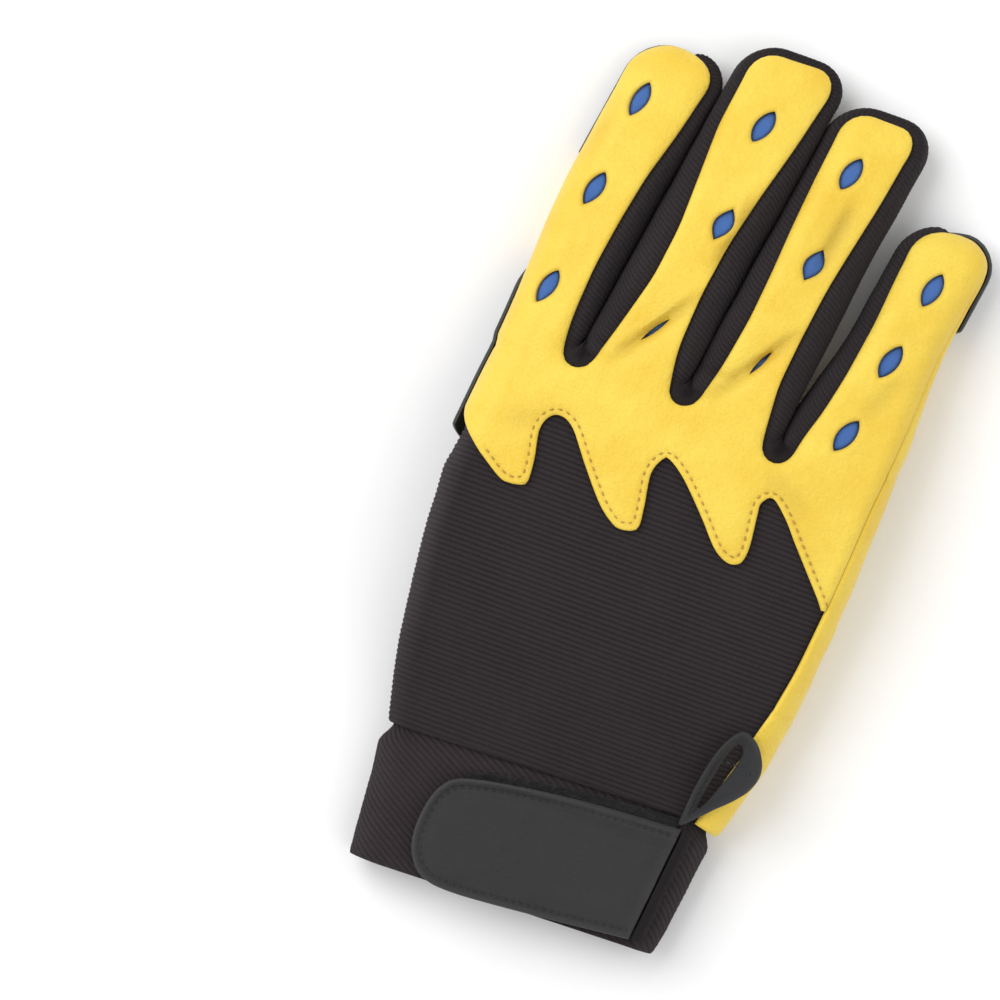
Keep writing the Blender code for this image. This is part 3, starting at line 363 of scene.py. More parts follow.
def directions(path: Places, closed: bool = False) -> Places:
    """Directions at right angles to a path, to the left of the way it runs.

    Args:
        path: The path's corners.
        closed: Whether it runs back to its start.

    Returns:
        One direction for each corner.
    """
    line = np.vstack([path[-1:], path, path[:1]]) if closed else path
    legs = np.diff(line, axis=0)
    legs = legs / np.maximum(np.linalg.norm(legs, axis=1), TINY)[:, None]
    if closed:
        along = legs[:-1] + legs[1:]
    else:
        along = np.vstack([legs[:1], legs]) + np.vstack([legs, legs[-1:]])
    along /= np.maximum(np.linalg.norm(along, axis=1), TINY)[:, None]
    return np.column_stack([-along[:, 1], along[:, 0]])


def inset(loop: Places, distance: float, closed: bool = True) -> Places:
    """A path that runs at a distance inside a loop, or beside an open path.

    Args:
        loop: The loop's or path's points.
        distance: How far in. On an open path, how far to its left.
        closed: Whether it is a loop.

    Returns:
        The moved points, without those that come too near again.
    """
    ways = directions(loop, closed)
    if closed and not inside(loop[:1] + 0.05 * ways[:1], loop)[0]:
        ways = -ways
    moved = loop + distance * ways
    keep = distance_to(moved, loop, closed) > KEPT * abs(distance)
    return moved[keep]


def tubes(centre: Places, side: Places, up: Places, radius: Numbers, around: int) -> Places:
    """Rings of points round the places of some lines.

    Args:
        centre: The places, line by line.
        side: A direction across each of them.
        up: A direction at right angles to it.
        radius: The rings' radius.
        around: How many points each ring has.

    Returns:
        The points, one to a row.
    """
    angle = math.tau * np.arange(around) / around
    ring = np.cos(angle)[:, None] * side[:, :, None] + np.sin(angle)[:, None] * up[:, :, None]
    return (centre[:, :, None] + radius * ring).reshape(-1, 3)


def tube_faces(count: int, rings: int, around: int, capped: bool = True) -> list[tuple[int, ...]]:
    """Faces between the rings of some tubes.

    Args:
        count: How many tubes there are.
        rings: How many rings each has.
        around: How many points each ring has.
        capped: Whether their ends are closed.

    Returns:
        The faces as point numbers.
    """
    faces: list[tuple[int, ...]] = []
    for first in range(0, count * rings * around, rings * around):
        for row in range(first, first + (rings - 1) * around, around):
            for c in range(around):
                a, b = row + c, row + (c + 1) % around
                faces.append((a, b, b + around, a + around))
        if capped:
            end = first + (rings - 1) * around
            faces += [tuple(range(first, first + around))[::-1], tuple(range(end, end + around))]
    return faces


class SoftNoise:
    """Smooth seeded unevenness over a plane, for leather and cloth that don't lie quite flat."""

    def __init__(self, seed: int, cell: float) -> None:
        """Keeps a grid of seeded values.

        Args:
            seed: Which grid.
            cell: Size of one cell in millimetres.
        """
        self.values = np.random.default_rng(seed).uniform(-1, 1, (64, 64))
        self.cell = cell

    def at(self, points: Places) -> np.ndarray:
        """The unevenness at each place, from -1 to 1.

        Args:
            points: The points.

        Returns:
            One number for each point.
        """
        place = points[:, :2] / self.cell + 31.3
        low = np.floor(place).astype(int)
        t = smooth(place - low)
        x0, y0 = low[:, 0] % 64, low[:, 1] % 64
        x1, y1 = (x0 + 1) % 64, (y0 + 1) % 64
        a = self.values[x0, y0] * (1 - t[:, 0]) + self.values[x1, y0] * t[:, 0]
        b = self.values[x0, y1] * (1 - t[:, 0]) + self.values[x1, y1] * t[:, 0]
        return a * (1 - t[:, 1]) + b * t[:, 1]


@dataclass
class RimLine:
    """A line in the layout along which a flat middle turns into a rounded side."""

    points: Places
    radius: float
    stops: list[Stop] = field(default_factory=list)

    def __post_init__(self) -> None:
        """Works out the line's outward directions and lengths."""
        self.out = directions(self.points)
        swept = self.points + 0.8 * self.radius * self.out
        legs = np.maximum(*(np.linalg.norm(np.diff(line, axis=0), axis=1) for line in (self.points, swept)))
        self.reach = np.concatenate([[0.0], np.cumsum(legs)])
        hollow = [stop.run is Run.CROTCH for stop in self.stops] or [False] * len(self.points)
        self.hollow = np.array(hollow)

    def nearest(self, points: Places) -> tuple[Places, Places, np.ndarray]:
        """For each point the nearest spot of the line.

        Args:
            points: Places in the layout.

        Returns:
            The spots, the outward directions there, and the signed distances.
        """
        start, leg = self.points[:-1], np.diff(self.points, axis=0)
        size = (leg**2).sum(axis=1)
        spots, ways, reaches = [], [], []
        for low in range(0, len(points), CHUNK):
            some = points[low : low + CHUNK]
            t = np.clip(((some[:, None] - start[None]) * leg[None]).sum(axis=2) / size, 0, 1)
            gap = some[:, None] - start[None] - t[..., None] * leg[None]
            far = (gap**2).sum(axis=2)
            best = far.argmin(axis=1)
            rows = np.arange(len(some))
            share = t[rows, best][:, None]
            spot = start[best] + share * leg[best]
            way = self.out[best] * (1 - share) + self.out[best + 1] * share
            way /= np.linalg.norm(way, axis=1)[:, None]
            sign = np.where(((some - spot) * way).sum(axis=1) > 0, 1.0, -1.0)
            apart = np.sqrt(far[rows, best])
            straight = (sign > 0) & (apart > 1e-3) & ~self.hollow[best] & ~self.hollow[best + 1]
            way[straight] = (some - spot)[straight] / apart[straight][:, None]
            spots.append(spot)
            ways.append(way)
            reaches.append(sign * apart)
        return np.vstack(spots), np.vstack(ways), np.concatenate(reaches)

    def footing(self, points: Places) -> tuple[Places, Places, np.ndarray, np.ndarray]:
        """Where laid out points stand on the flat middle, and how far they go round the side.

        Args:
            points: Places in the layout.

        Returns:
            Their feet, the outward directions, the angles round the side and the lengths past it.
        """
        spot, way, reach = self.nearest(points)
        base = np.where((reach <= 0)[:, None], points, spot)
        angle = np.maximum(reach, 0) / self.radius
        past = np.maximum(angle - math.pi, 0) * self.radius
        return base, way, np.minimum(angle, math.pi), past

    def beyond(self, k: int, angle: float) -> Places:
        """The laid out place at an angle round the side from stop k."""
        return self.points[k] + self.radius * angle * self.out[k]

    def where(self, test: Callable[[Stop], bool]) -> list[int]:
        """Numbers of the stops that pass a test."""
        return [k for k, stop in enumerate(self.stops) if test(stop)]


@dataclass
class GloveForm:
    """The glove's form: wraps laid out places on its back, palm, cuff and folded thumb."""

    sizes: Sizes = field(default_factory=Sizes)
    step: float = 2.0
    below_cuff: float = 7.4
    patch_corner: Span = (-0.195, -0.8)
    seam_slope: float = 0.03
    tuck_share: float = 0.19
    tip_power: float = 2.8
    outer_flank: float = 1.1
    side_edge: tuple[float, float] = (0.45, 0.62)
    outer_turn: float = 1.70
    tip_turn: float = 1.60
    side_seam: Rows = (
        (0.0, 0.12), (0.28, 0.06), (0.47, 0.36), (0.63, 0.44), (0.96, 0.63), (1.24, 0.95), (1.5, 1.2),
    )  # fmt: skip

    def __post_init__(self) -> None:
        """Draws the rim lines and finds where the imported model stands."""
        stops = self.hand_stops()
        self.hand = RimLine(np.array([stop[:2] for stop in stops]), self.sizes.rim, stops)
        outline = rounded(self.placed(self.sizes.thumb_outline), 1.5)
        self.thumb = RimLine(outline - self.sizes.thumb_rim * directions(outline), self.sizes.thumb_rim)
        crease = rounded(self.placed(self.sizes.crease), 1.5)
        self.crease = RimLine(crease, self.sizes.thumb_rim)
        self.back_edge = self.edge_angles(Side.BACK)
        self.palm_edge = self.edge_angles(Side.PALM)
        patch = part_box("loop_patch")[0]
        corner = self.placed([self.patch_corner], self.sizes.cuff_length)[0]
        self.origin = np.array([corner[0] - patch[0] / METRES, corner[1] - patch[1] / METRES, 0.0])

    def placed(self, rows: Sequence[Sequence[float]], length: float | None = None) -> Places:
        """Rows of shares as places in millimetres.

        Args:
            rows: Shares of the hand's width and of a length.
            length: That length, the palm's if none is given.

        Returns:
            The places.
        """
        size = self.sizes
        return np.array(rows, float)[:, :2] * [size.hand_width, length or size.palm_length]

    def lean(self, v: Numbers) -> np.ndarray:
        """How far the fingers lean towards the little finger side at v.

        Args:
            v: Height in the layout.

        Returns:
            The shift in millimetres.
        """
        size = self.sizes
        along = v - size.palm_length
        turn = 0.11 * size.palm_length
        return math.tan(math.radians(size.finger_lean_degrees)) * (along + np.sqrt(along**2 + turn**2)) / 2

    def side_of_hand(self, v: Numbers, left: bool) -> np.ndarray:
        """The silhouette of hand and cuff at v.

        Args:
            v: Height in the layout.
            left: Whether the thumb side is meant.

        Returns:
            The silhouette's x.
        """
        size = self.sizes
        column = 1 if left else 2
        rows = [(row[0] * size.cuff_length, row[column]) for row in reversed(size.cuff_sides[1:])]
        rows += [(row[0] * size.palm_length, row[column]) for row in size.hand_sides]
        return np.interp(v, [row[0] for row in rows], [row[1] for row in rows]) * size.hand_width

    def side_of_finger(self, finger: Finger, v: float, left: bool) -> float:
        """The silhouette of a finger's side at v, before the lean.

        Args:
            finger: The finger.
            v: Height in the layout.
            left: Whether its side towards the thumb is meant.

        Returns:
            The silhouette's x.
        """
        size = self.sizes
        base = finger.left_base if left else finger.right_base
        tip = finger.left_tip if left else finger.right_tip
        share = float(smooth((v - size.palm_length) / (0.6 * finger.length)))
        side = (base + (tip - base) * share) * size.hand_width
        if (finger is size.fingers[0] and left) or (finger is size.fingers[-1] and not left):
            return side
        return side + size.finger_gap / 2 if left else side - size.finger_gap / 2

    def crotch_place(self, i: int) -> tuple[float, float]:
        """Middle of the arc that the rim line makes round a crotch.

        Args:
            i: Number of the finger on its left.

        Returns:
            The arc's middle.
        """
        size = self.sizes
        v = size.crotches[i] * size.palm_length + size.valley - size.rim * math.sin(self.side_edge[0])
        return size.fingers[i].right_base * size.hand_width, v

    def between(self, low: float, high: float) -> np.ndarray:
        """Even stops from low to high, about one step apart."""
        return np.linspace(low, high, max(1, round(abs(high - low) / self.step)) + 1)

    def finger_stops(self, i: int) -> list[Stop]:
        """Rim line of one finger, from its left base over the tip to its right base.

        Args:
            i: Number of the finger.

        Returns:
            Its stops.
        """
        size = self.sizes
        finger = size.fingers[i]
        end = size.palm_length + finger.length - size.rim
        corner = 0.18 * size.rim
        left_start = size.palm_length if i == 0 else self.crotch_place(i - 1)[1]
        last = i == len(size.fingers) - 1
        right_start = size.palm_length if last else self.crotch_place(i)[1]
        runs = (Run.OUTER if i == 0 else Run.FINGER, Run.OUTER if last else Run.FINGER)
        stops = []
        for v in self.between(left_start, end - corner)[1:]:
            stops.append(Stop(self.side_of_finger(finger, v, True) + size.rim, v, runs[0], i))
        left = self.side_of_finger(finger, end, True) + size.rim
        right = self.side_of_finger(finger, end, False) - size.rim
        for a in np.radians(CORNER_DEGREES):
            stops.append(Stop(left + corner * (1 - math.cos(a)), end - corner * (1 - math.sin(a)), Run.TIP, i))
        for x in self.between(left + corner, right - corner)[1:-1]:
            stops.append(Stop(float(x), end, Run.TIP, i))
        for a in np.radians(CORNER_DEGREES[::-1]):
            stops.append(Stop(right - corner * (1 - math.cos(a)), end - corner * (1 - math.sin(a)), Run.TIP, i))
        for v in self.between(end - corner, right_start)[:-1]:
            stops.append(Stop(self.side_of_finger(finger, v, False) - size.rim, v, runs[1], i))
        return stops

    def hand_stops(self) -> list[Stop]:
        """Rim line of the whole glove, clockwise from the cuff's thumb side."""
        size = self.sizes
        low = -size.cuff_length - self.below_cuff
        stops = []
        for v in self.between(low, size.palm_length):
            stops.append(Stop(float(self.side_of_hand(v, True)) + size.rim, v, Run.LEFT, 0))
        for i in range(len(size.fingers)):
            stops += self.finger_stops(i)
            if i < len(size.fingers) - 1:
                x, v = self.crotch_place(i)
                for a in np.radians(np.arange(0, 181, 10)):
                    place = (x - size.valley * math.cos(a), v - size.valley * math.sin(a))
                    stops.append(Stop(*place, Run.CROTCH, i))
        for v in self.between(size.palm_length, low):
            stops.append(Stop(float(self.side_of_hand(v, False)) - size.rim, v, Run.RIGHT, len(size.fingers)))
        return stops

    def turn(self, reach: float) -> float:
        """How far round the side a sheet goes that reaches this far out from the rim line."""
        share = reach / self.sizes.rim
        return math.asin(share) if 0 < share < 1 else share + (0.5 * math.pi - 1) * (share >= 1)

    def band_angle(self, band: float) -> float:
        """How far round the side leather reaches that leaves a band of wall cloth in sight."""
        return self.turn(self.sizes.valley - band)

    def bands(self, finger: int, left: bool) -> tuple[float, ...]:
        """Widths of the cloth in sight on a side of a finger, which its neighbour shares, from base to tip."""
        return self.sizes.bands_left[finger - 1] if left else self.sizes.bands_right[finger]

    def tip_share(self, k: int) -> float:
        """Where stop k lies across its fingertip, from 0 on the left to 1.

        Args:
            k: Number of a stop of the hand's rim line.

        Returns:
            The share.
        """
        stop = self.hand.stops[k]
        across = [other.x for other in self.hand.stops if other.run is Run.TIP and other.finger == stop.finger]
        return (stop.x - min(across)) / (max(across) - min(across))

    def tip_angle(self, k: int) -> float:
        """How far round the back leather reaches at a fingertip, which it covers squarely.

        Args:
            k: Number of a stop at a fingertip.

        Returns:
            The angle from the flat.
        """
        size, stop = self.sizes, self.hand.stops[k]
        x, y = np.abs(self.hand.out[k])
        left, right = size.tip_bands[stop.finger]
        over = size.rim - (left + (right - left) * self.tip_share(k))
        on_left = self.hand.out[k][0] < 0
        outer = stop.finger == (0 if on_left else len(size.fingers) - 1)
        flank = size.rim * self.outer_flank if outer else size.valley - self.bands(stop.finger, on_left)[-1]
        power = self.tip_power
        return self.turn(min((x / flank) ** power + (y / over) ** power, 1 / TINY) ** (-1 / power))

    def back_turn(self, k: int) -> float:
        """How far round the side the back leather reaches between or at the tips of the fingers.

        Args:
            k: Number of a stop of the hand's rim line.

        Returns:
            The angle from the flat.
        """
        size, stop = self.sizes, self.hand.stops[k]
        way = self.hand.out[k]
        if stop.run is Run.CROTCH:
            side, bottom = size.crotch_bands
            return self.band_angle(side + (bottom - side) * float(way[1]) ** 2)
        if stop.run is Run.TIP:
            return self.tip_angle(k)
        share = (stop.v - size.palm_length) / size.fingers[stop.finger].length
        return self.band_angle(float(np.interp(share, size.band_stations, self.bands(stop.finger, way[0] < 0))))

    def edge_angles(self, side: Side) -> np.ndarray:
        """How far round the side the leather reaches at each stop.

        Args:
            side: The back leather's edge, or the palm leather's.

        Returns:
            One angle for each stop of the hand's rim line.
        """
        size = self.sizes
        back = side is Side.BACK
        gap = size.seam_gap / size.rim
        angles = []
        for k, stop in enumerate(self.hand.stops):
            if stop.run is Run.RIGHT or (stop.run is Run.OUTER and stop.finger == len(size.fingers) - 1):
                share = stop.v / size.palm_length
                seam = np.interp(share, [row[0] for row in self.side_seam], [row[1] for row in self.side_seam])
                angles.append(seam if back else math.pi - seam - 0.25 * gap)
            elif stop.run in (Run.LEFT, Run.OUTER):
                angles.append(self.outer_turn if back else math.pi - self.outer_turn - gap)
            elif back:
                angles.append(self.back_turn(k))
            elif stop.run is Run.TIP:
                share = self.tip_share(k)
                closed = (stop.finger == 0) * (1 - share) + (stop.finger == len(size.fingers) - 1) * share
                low, full = self.side_edge[1], math.pi - self.tip_turn - gap
                low += 0.38 * float(self.hand.out[k][1]) ** 4
                angles.append(low + (full - low) * float(smooth((closed - 0.3) / 0.4)))
            else:
                angles.append(self.side_edge[1])
        reach = self.hand.reach
        even = np.arange(0, reach[-1], 1.0)
        eased = np.interp(even, reach, angles)
        for _ in range(10):
            eased[1:-1] = (eased[:-2] + 2 * eased[1:-1] + eased[2:]) / 4
        return np.interp(reach, even, eased)

    def wrist_fade(self, v: np.ndarray) -> np.ndarray:
        """How much of the thumb's thickness is left at v, none of it at the cuff's seam."""
        length = self.sizes.palm_length
        return smooth((v - 0.02 * length) / (0.33 * length))

    def fold_place(self, fold: Fold, x: np.ndarray, v: np.ndarray) -> tuple[np.ndarray, np.ndarray]:
        """Where places lie along and across a fold, as shares of its half length and its width.

        Args:
            fold: The fold.
            x: The places' x.
            v: Their height in the layout.

        Returns:
            The shares along and across.
        """
        a = math.radians(fold.degrees)
        dx = x - fold.x * self.sizes.hand_width
        dv = v - fold.v * self.sizes.palm_length
        along = (dx * math.cos(a) + dv * math.sin(a)) / (fold.long * self.sizes.hand_width / 2)
        across = (dv * math.cos(a) - dx * math.sin(a)) / (fold.wide * self.sizes.hand_width)
        return along, across

    def fold_shade(self, points: Places) -> np.ndarray:
        """How deep in a sharp fold each laid out place lies, from 0 to 1.

        Args:
            points: The points.

        Returns:
            One number for each point.
        """
        deepest = np.zeros(len(points))
        x = points[:, 0] + self.lean(points[:, 1])
        for fold in self.sizes.folds:
            if fold.steep:
                along, across = self.fold_place(fold, x, points[:, 1])
                deepest = np.maximum(deepest, min(fold.deep, 1.0) * np.exp(-(along**4) - across**2))
        return deepest

    def fold_depth(self, x: np.ndarray, v: np.ndarray) -> np.ndarray:
        """How deep the folds of the back dent it.

        Args:
            x: The places' x.
            v: Their height in the layout.

        Returns:
            One depth for each place.
        """
        total = np.zeros(len(x))
        for fold in self.sizes.folds:
            along, across = self.fold_place(fold, x, v)
            across = np.where(across > 0, across * (1 + 1.5 * fold.steep), across)
            ridge = 0.35 * fold.steep * np.exp(-((across - 1.1) ** 2) / 0.3)
            total += fold.deep * np.exp(-(along**4)) * (np.exp(-(across**2)) - ridge)
        return total

    def tip_place(self, x: np.ndarray) -> np.ndarray:
        """Where the finger over x ends.

        Args:
            x: The places' x.

        Returns:
            The end's v for each place.
        """
        size = self.sizes
        ends = np.array([size.palm_length + finger.length for finger in size.fingers])
        valleys = np.array([finger.right_base * size.hand_width for finger in size.fingers[:-1]])
        return ends[np.searchsorted(valleys, x)]

    def heights(self, points: Places) -> tuple[np.ndarray, np.ndarray]:
        """Height of the leather's outer face on the back and on the palm over each point.

        Args:
            points: The points.

        Returns:
            The heights of the back and of the palm.
        """
        size = self.sizes
        u, v = points[:, 0], points[:, 1]
        reach = self.thumb.nearest(np.column_stack([u + self.lean(v), v]))[2]
        away = np.maximum(reach - size.thumb_rim, 0)
        floor = size.pad_stack * smooth(v / (0.2 * size.cuff_length) + 1)
        low = floor + size.palm_lift * self.wrist_fade(v) * smooth(1 - away / size.drape)
        rise = smooth((v + 0.14 * size.palm_length) / (0.65 * size.palm_length))
        loft = size.palm_lift * rise * smooth(1 - away / (2 * size.drape))
        thick = size.wrist_thickness + (size.hand_thickness - size.wrist_thickness) * smooth(
            v / (0.35 * size.palm_length)
        )
        thick += (size.finger_thickness - size.hand_thickness) * smooth((v / size.palm_length - 0.75) / 0.4)
        thick -= size.tip_taper * smooth(1 - (self.tip_place(u) - v) / (1.8 * size.finger_thickness))
        top = floor + thick + loft - self.fold_depth(u + self.lean(v), v)
        return top, low

    def bent(self, plan: Places, z: np.ndarray, base: Places, top: np.ndarray, low: np.ndarray) -> Places:
        """Leans the fingers over and rakes the crotches forward towards the palm.

        Args:
            plan: Where the places are, seen from above.
            z: Their heights.
            base: Their feet on the flat middle.
            top: Height of the back over each foot.
            low: Height of the palm over it.

        Returns:
            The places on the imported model.
        """
        size = self.sizes
        share = (top - z) / (top - low)
        rake = np.zeros(len(plan))
        for i in range(len(size.crotches)):
            x0, v0 = self.crotch_place(i)
            across = ((base[:, 0] - x0) / (1.3 * size.valley)) ** 2
            along = ((base[:, 1] - v0) / (2.6 * size.valley)) ** 2
            rake = np.maximum(rake, np.exp(-across - along))
        v = plan[:, 1] + size.crotch_rake * rake * np.clip(share, 0, 1)
        return np.column_stack([plan[:, 0] + self.lean(v), v, z]) - self.origin

    def round_side(self, base: Places, way: Places, angle: np.ndarray, depth: Numbers) -> Places:
        """Places at an angle round the side that leaves each base place the given way.

        Args:
            base: Feet on the flat middle.
            way: Outward directions.
            angle: Angles from the back.
            depth: How deep they lie.

        Returns:
            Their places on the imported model.
        """
        rim = self.sizes.rim
        top, low = self.heights(base)
        plan = base + ((rim - depth) * np.sin(angle))[:, None] * way
        z = (top + low) / 2 + ((top - low) / 2 - depth) * np.cos(angle)
        return self.bent(plan, z, base, top, low)

    def on_hand(self, points: Places, depth: Numbers, side: Side) -> Places:
        """Wraps laid out points on the hand. Past the rim line they go round its side.

        Args:
            points: The points.
            depth: How deep they lie.
            side: The face that the flat middle lies on.

        Returns:
            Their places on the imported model.
        """
        base, way, angle, past = self.hand.footing(points)
        top, low = self.heights(base)
        plan = base + ((self.sizes.rim - depth) * np.sin(angle) - past)[:, None] * way
        z = (top + low) / 2 + side.value * ((top - low) / 2 - depth) * np.cos(angle)
        return self.bent(plan, z, base, top, low)

    def on_back(self, points: Places, depth: Numbers) -> Places:
        """Wraps laid out points on the back."""
        return self.on_hand(points, depth, Side.BACK)

    def on_palm(self, points: Places, depth: Numbers) -> Places:
        """Wraps laid out points on the palm."""
        return self.on_hand(points, depth, Side.PALM)

    def on_wall(self, places: Places, depth: Numbers) -> Places:
        """Wraps places given as a length along the rim line and an angle round its side.

        Args:
            places: The lengths and angles.
            depth: How deep they lie.

        Returns:
            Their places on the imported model.
        """
        line = self.hand
        base = np.column_stack([np.interp(places[:, 0], line.reach, line.points[:, k]) for k in range(2)])
        way = np.column_stack([np.interp(places[:, 0], line.reach, line.out[:, k]) for k in range(2)])
        way /= np.linalg.norm(way, axis=1)[:, None]
        return self.round_side(base, way, places[:, 1], depth)

    def seam_place(self, x: Numbers) -> Numbers:
        """The cuff's seam on the back rises towards the little finger side."""
        return self.seam_slope * (x + self.sizes.hand_width / 2)

    def tuck(self, past_seam: Numbers) -> np.ndarray:
        """How deep the cuff lies under the hand's outer face."""
        return self.sizes.cuff_tuck * smooth(1 + past_seam / (self.tuck_share * self.sizes.cuff_length))

    def on_cuff(self, points: Places, depth: Numbers, side: Side = Side.BACK) -> Places:
        """Wraps points on the cuff, whose upper edge is tucked under the hand's sheets."""
        return self.on_hand(points, depth + self.tuck(points[:, 1] - self.seam_place(points[:, 0])), side)

    def on_thumb(self, points: Places, depth: Numbers, side: Side) -> Places:
        """Wraps laid out points on the folded thumb.

        Args:
            points: The points.
            depth: How deep they lie.
            side: The face that the flat middle lies on.

        Returns:
            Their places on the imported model.
        """
        size = self.sizes
        base, way, angle, past = self.thumb.footing(points)
        top = size.pad_stack + size.thumb_thickness * self.wrist_fade(base[:, 1])
        if side is Side.BACK:
            off = np.abs(self.crease.nearest(base)[2])
            palm = self.heights(base)[1]
            top = top + np.maximum(palm - size.seam_gap - top, 0) * smooth(1 - off / size.thumb_thickness)
        low = np.full(len(base), size.pad_stack)
        plan = base + ((size.thumb_rim - depth) * np.sin(angle) - past)[:, None] * way
        z = (top + low) / 2 + side.value * ((top - low) / 2 - depth) * np.cos(angle)
        return np.column_stack([plan, z]) - self.origin

    def on_pulp(self, points: Places, depth: Numbers) -> Places:
        """Wraps laid out points on the thumb's inner side, which faces the palm."""
        return self.on_thumb(points, depth, Side.BACK)

    def on_nail(self, points: Places, depth: Numbers) -> Places:
        """Wraps laid out points on the thumb's outer side, which faces the floor."""
        return self.on_thumb(points, depth, Side.PALM)

    def left_line(self, v: Numbers) -> np.ndarray:
        """Where the flat back turns into the thumb side at v."""
        return self.side_of_hand(v, True) + self.sizes.rim

    def on_thumb_side(self, points: Places, depth: Numbers) -> Places:
        """Wraps the back cloth: over the back, round the thumb side and on along the floor.

        Args:
            points: The points.
            depth: How deep they lie.

        Returns:
            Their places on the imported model.
        """
        size = self.sizes
        turn = self.left_line(points[:, 1])
        reach = turn - points[:, 0]
        top = self.heights(np.column_stack([turn, points[:, 1]]))[0]
        angle = np.clip(reach / size.rim, 0, math.pi)
        x = turn - (size.rim - depth) * np.sin(angle)
        z = (top + size.pad_stack) / 2 + ((top - size.pad_stack) / 2 - depth) * np.cos(angle)
        wall = np.column_stack([x + self.lean(points[:, 1]), points[:, 1], z]) - self.origin
        under = self.on_nail(np.column_stack([turn + reach - math.pi * size.rim, points[:, 1]]), depth)
        flat = self.on_back(points, depth)
        past_wall = (reach >= math.pi * size.rim)[:, None]
        return np.where((reach <= 0)[:, None], flat, np.where(past_wall, under, wall))


class Socket(NamedTuple):
    """A node's output in a material that is being made."""

    node: bpy.types.Node
    name: str | int


class Shader:
    """Makes one procedural material, node by node."""

    def __init__(self, name: str) -> None:
        """Starts a material with a Principled shader.

        Args:
            name: The material's name.
        """
        self.material = bpy.data.materials.new(name)
        self.material.use_nodes = True
        self.tree = self.material.node_tree
        self.surface = self.tree.nodes["Principled BSDF"]

    def add(self, kind: str, inputs: dict | None = None, **values: object) -> bpy.types.Node:
        """Adds a node.

        Args:
            kind: Blender's name for it, without its prefix.
            inputs: Values or sockets for its inputs.
            **values: Values for its properties.

        Returns:
            The node.
        """
        node = self.tree.nodes.new("ShaderNode" + kind)
        for key, value in values.items():
            setattr(node, key, value)
        for key, value in (inputs or {}).items():
            if isinstance(value, Socket):
                self.tree.links.new(value.node.outputs[value.name], node.inputs[key])
            else:
                node.inputs[key].default_value = value
        return node

    def layout(self) -> Socket:
        """Laid out places in millimetres, which the meshes carry."""
        return Socket(self.add("Attribute", attribute_name="laid_out"), "Vector")

    def mask(self, name: str) -> Socket:
        """A number that the meshes carry for each point."""
        return Socket(self.add("Attribute", attribute_name=name), "Fac")

    def stretched(self, source: Socket, scale: tuple[float, float, float], turn: float = 0.0) -> Socket:
        """The places scaled and turned, for grain that runs one way."""
        node = self.add("Mapping", {"Vector": source, "Scale": scale, "Rotation": (0, 0, turn)})
        return Socket(node, "Vector")

    def noise(self, source: Socket, scale: float, detail: float = 4.0, rough: float = 0.55) -> Socket:
        """Soft noise at a scale per millimetre."""
        node = self.add("TexNoise", {"Vector": source, "Scale": scale, "Detail": detail, "Roughness": rough})
        return Socket(node, "Fac")

    def cells(self, source: Socket, scale: float, feature: str = "F1") -> Socket:
        """Rounded cells at a scale per millimetre."""
        node = self.add("TexVoronoi", {"Vector": source, "Scale": scale}, feature=feature)
        return Socket(node, "Distance")

    def waves(self, source: Socket, scale: float, direction: str = "X", bend: float = 0.0) -> Socket:
        """Even waves at a scale per millimetre.

        Args:
            source: Where the places come from.
            scale: Waves to a millimetre.
            direction: Across what they run.
            bend: How uneven they are.

        Returns:
            The waves, from 0 to 1.
        """
        node = self.add(
            "TexWave", {"Vector": source, "Scale": scale, "Distortion": bend, "Detail": 1.0}, bands_direction=direction
        )
        return Socket(node, "Fac")

    def ramp(self, source: Socket, low: float, high: float) -> Socket:
        """A number that goes from 0 to 1 between two limits."""
        node = self.add("MapRange", {"Value": source, "From Min": low, "From Max": high}, clamp=True)
        return Socket(node, "Result")

    def times(self, a: Socket, b: Socket | float, how: str = "MULTIPLY") -> Socket:
        """Two numbers multiplied, or joined another way."""
        return Socket(self.add("Math", {0: a, 1: b}, operation=how), "Value")

    def mix(self, share: Socket, a: Socket | tuple, b: Socket | tuple) -> Socket:
        """One colour going over into another."""
        node = self.add("MixRGB", {"Fac": share, "Color1": a, "Color2": b})
        return Socket(node, "Color")

    def relief(self, height: Socket, depth: float, under: Socket | None = None) -> Socket:
        """Bump of a depth in metres, over another bump if one is given.

        Args:
            height: The relief, from 0 to 1.
            depth: Its depth.
            under: The bump under it.

        Returns:
            The bent normals.
        """
        inputs = {"Height": height, "Distance": depth, "Strength": 1.0}
        if under is not None:
            inputs["Normal"] = under
        return Socket(self.add("Bump", inputs), "Normal")

    def dress(self, **inputs: object) -> bpy.types.Material:
        """Sets the shader's inputs and returns the material."""
        for key, value in inputs.items():
            name = key.replace("_", " ")
            if isinstance(value, Socket):
                self.tree.links.new(value.node.outputs[value.name], self.surface.inputs[name])
            else:
                self.surface.inputs[name].default_value = value
        return self.material


def opaque(colour: tuple[float, float, float], share: float = 1.0) -> tuple[float, float, float, float]:
    """A linear colour, lighter or darker by a share, with full cover."""
    return (colour[0] * share, colour[1] * share, colour[2] * share, 1.0)


class Finish(Protocol):
    """What a piece is made of."""

    def material(self, name: str) -> bpy.types.Material:
        """Makes its material."""


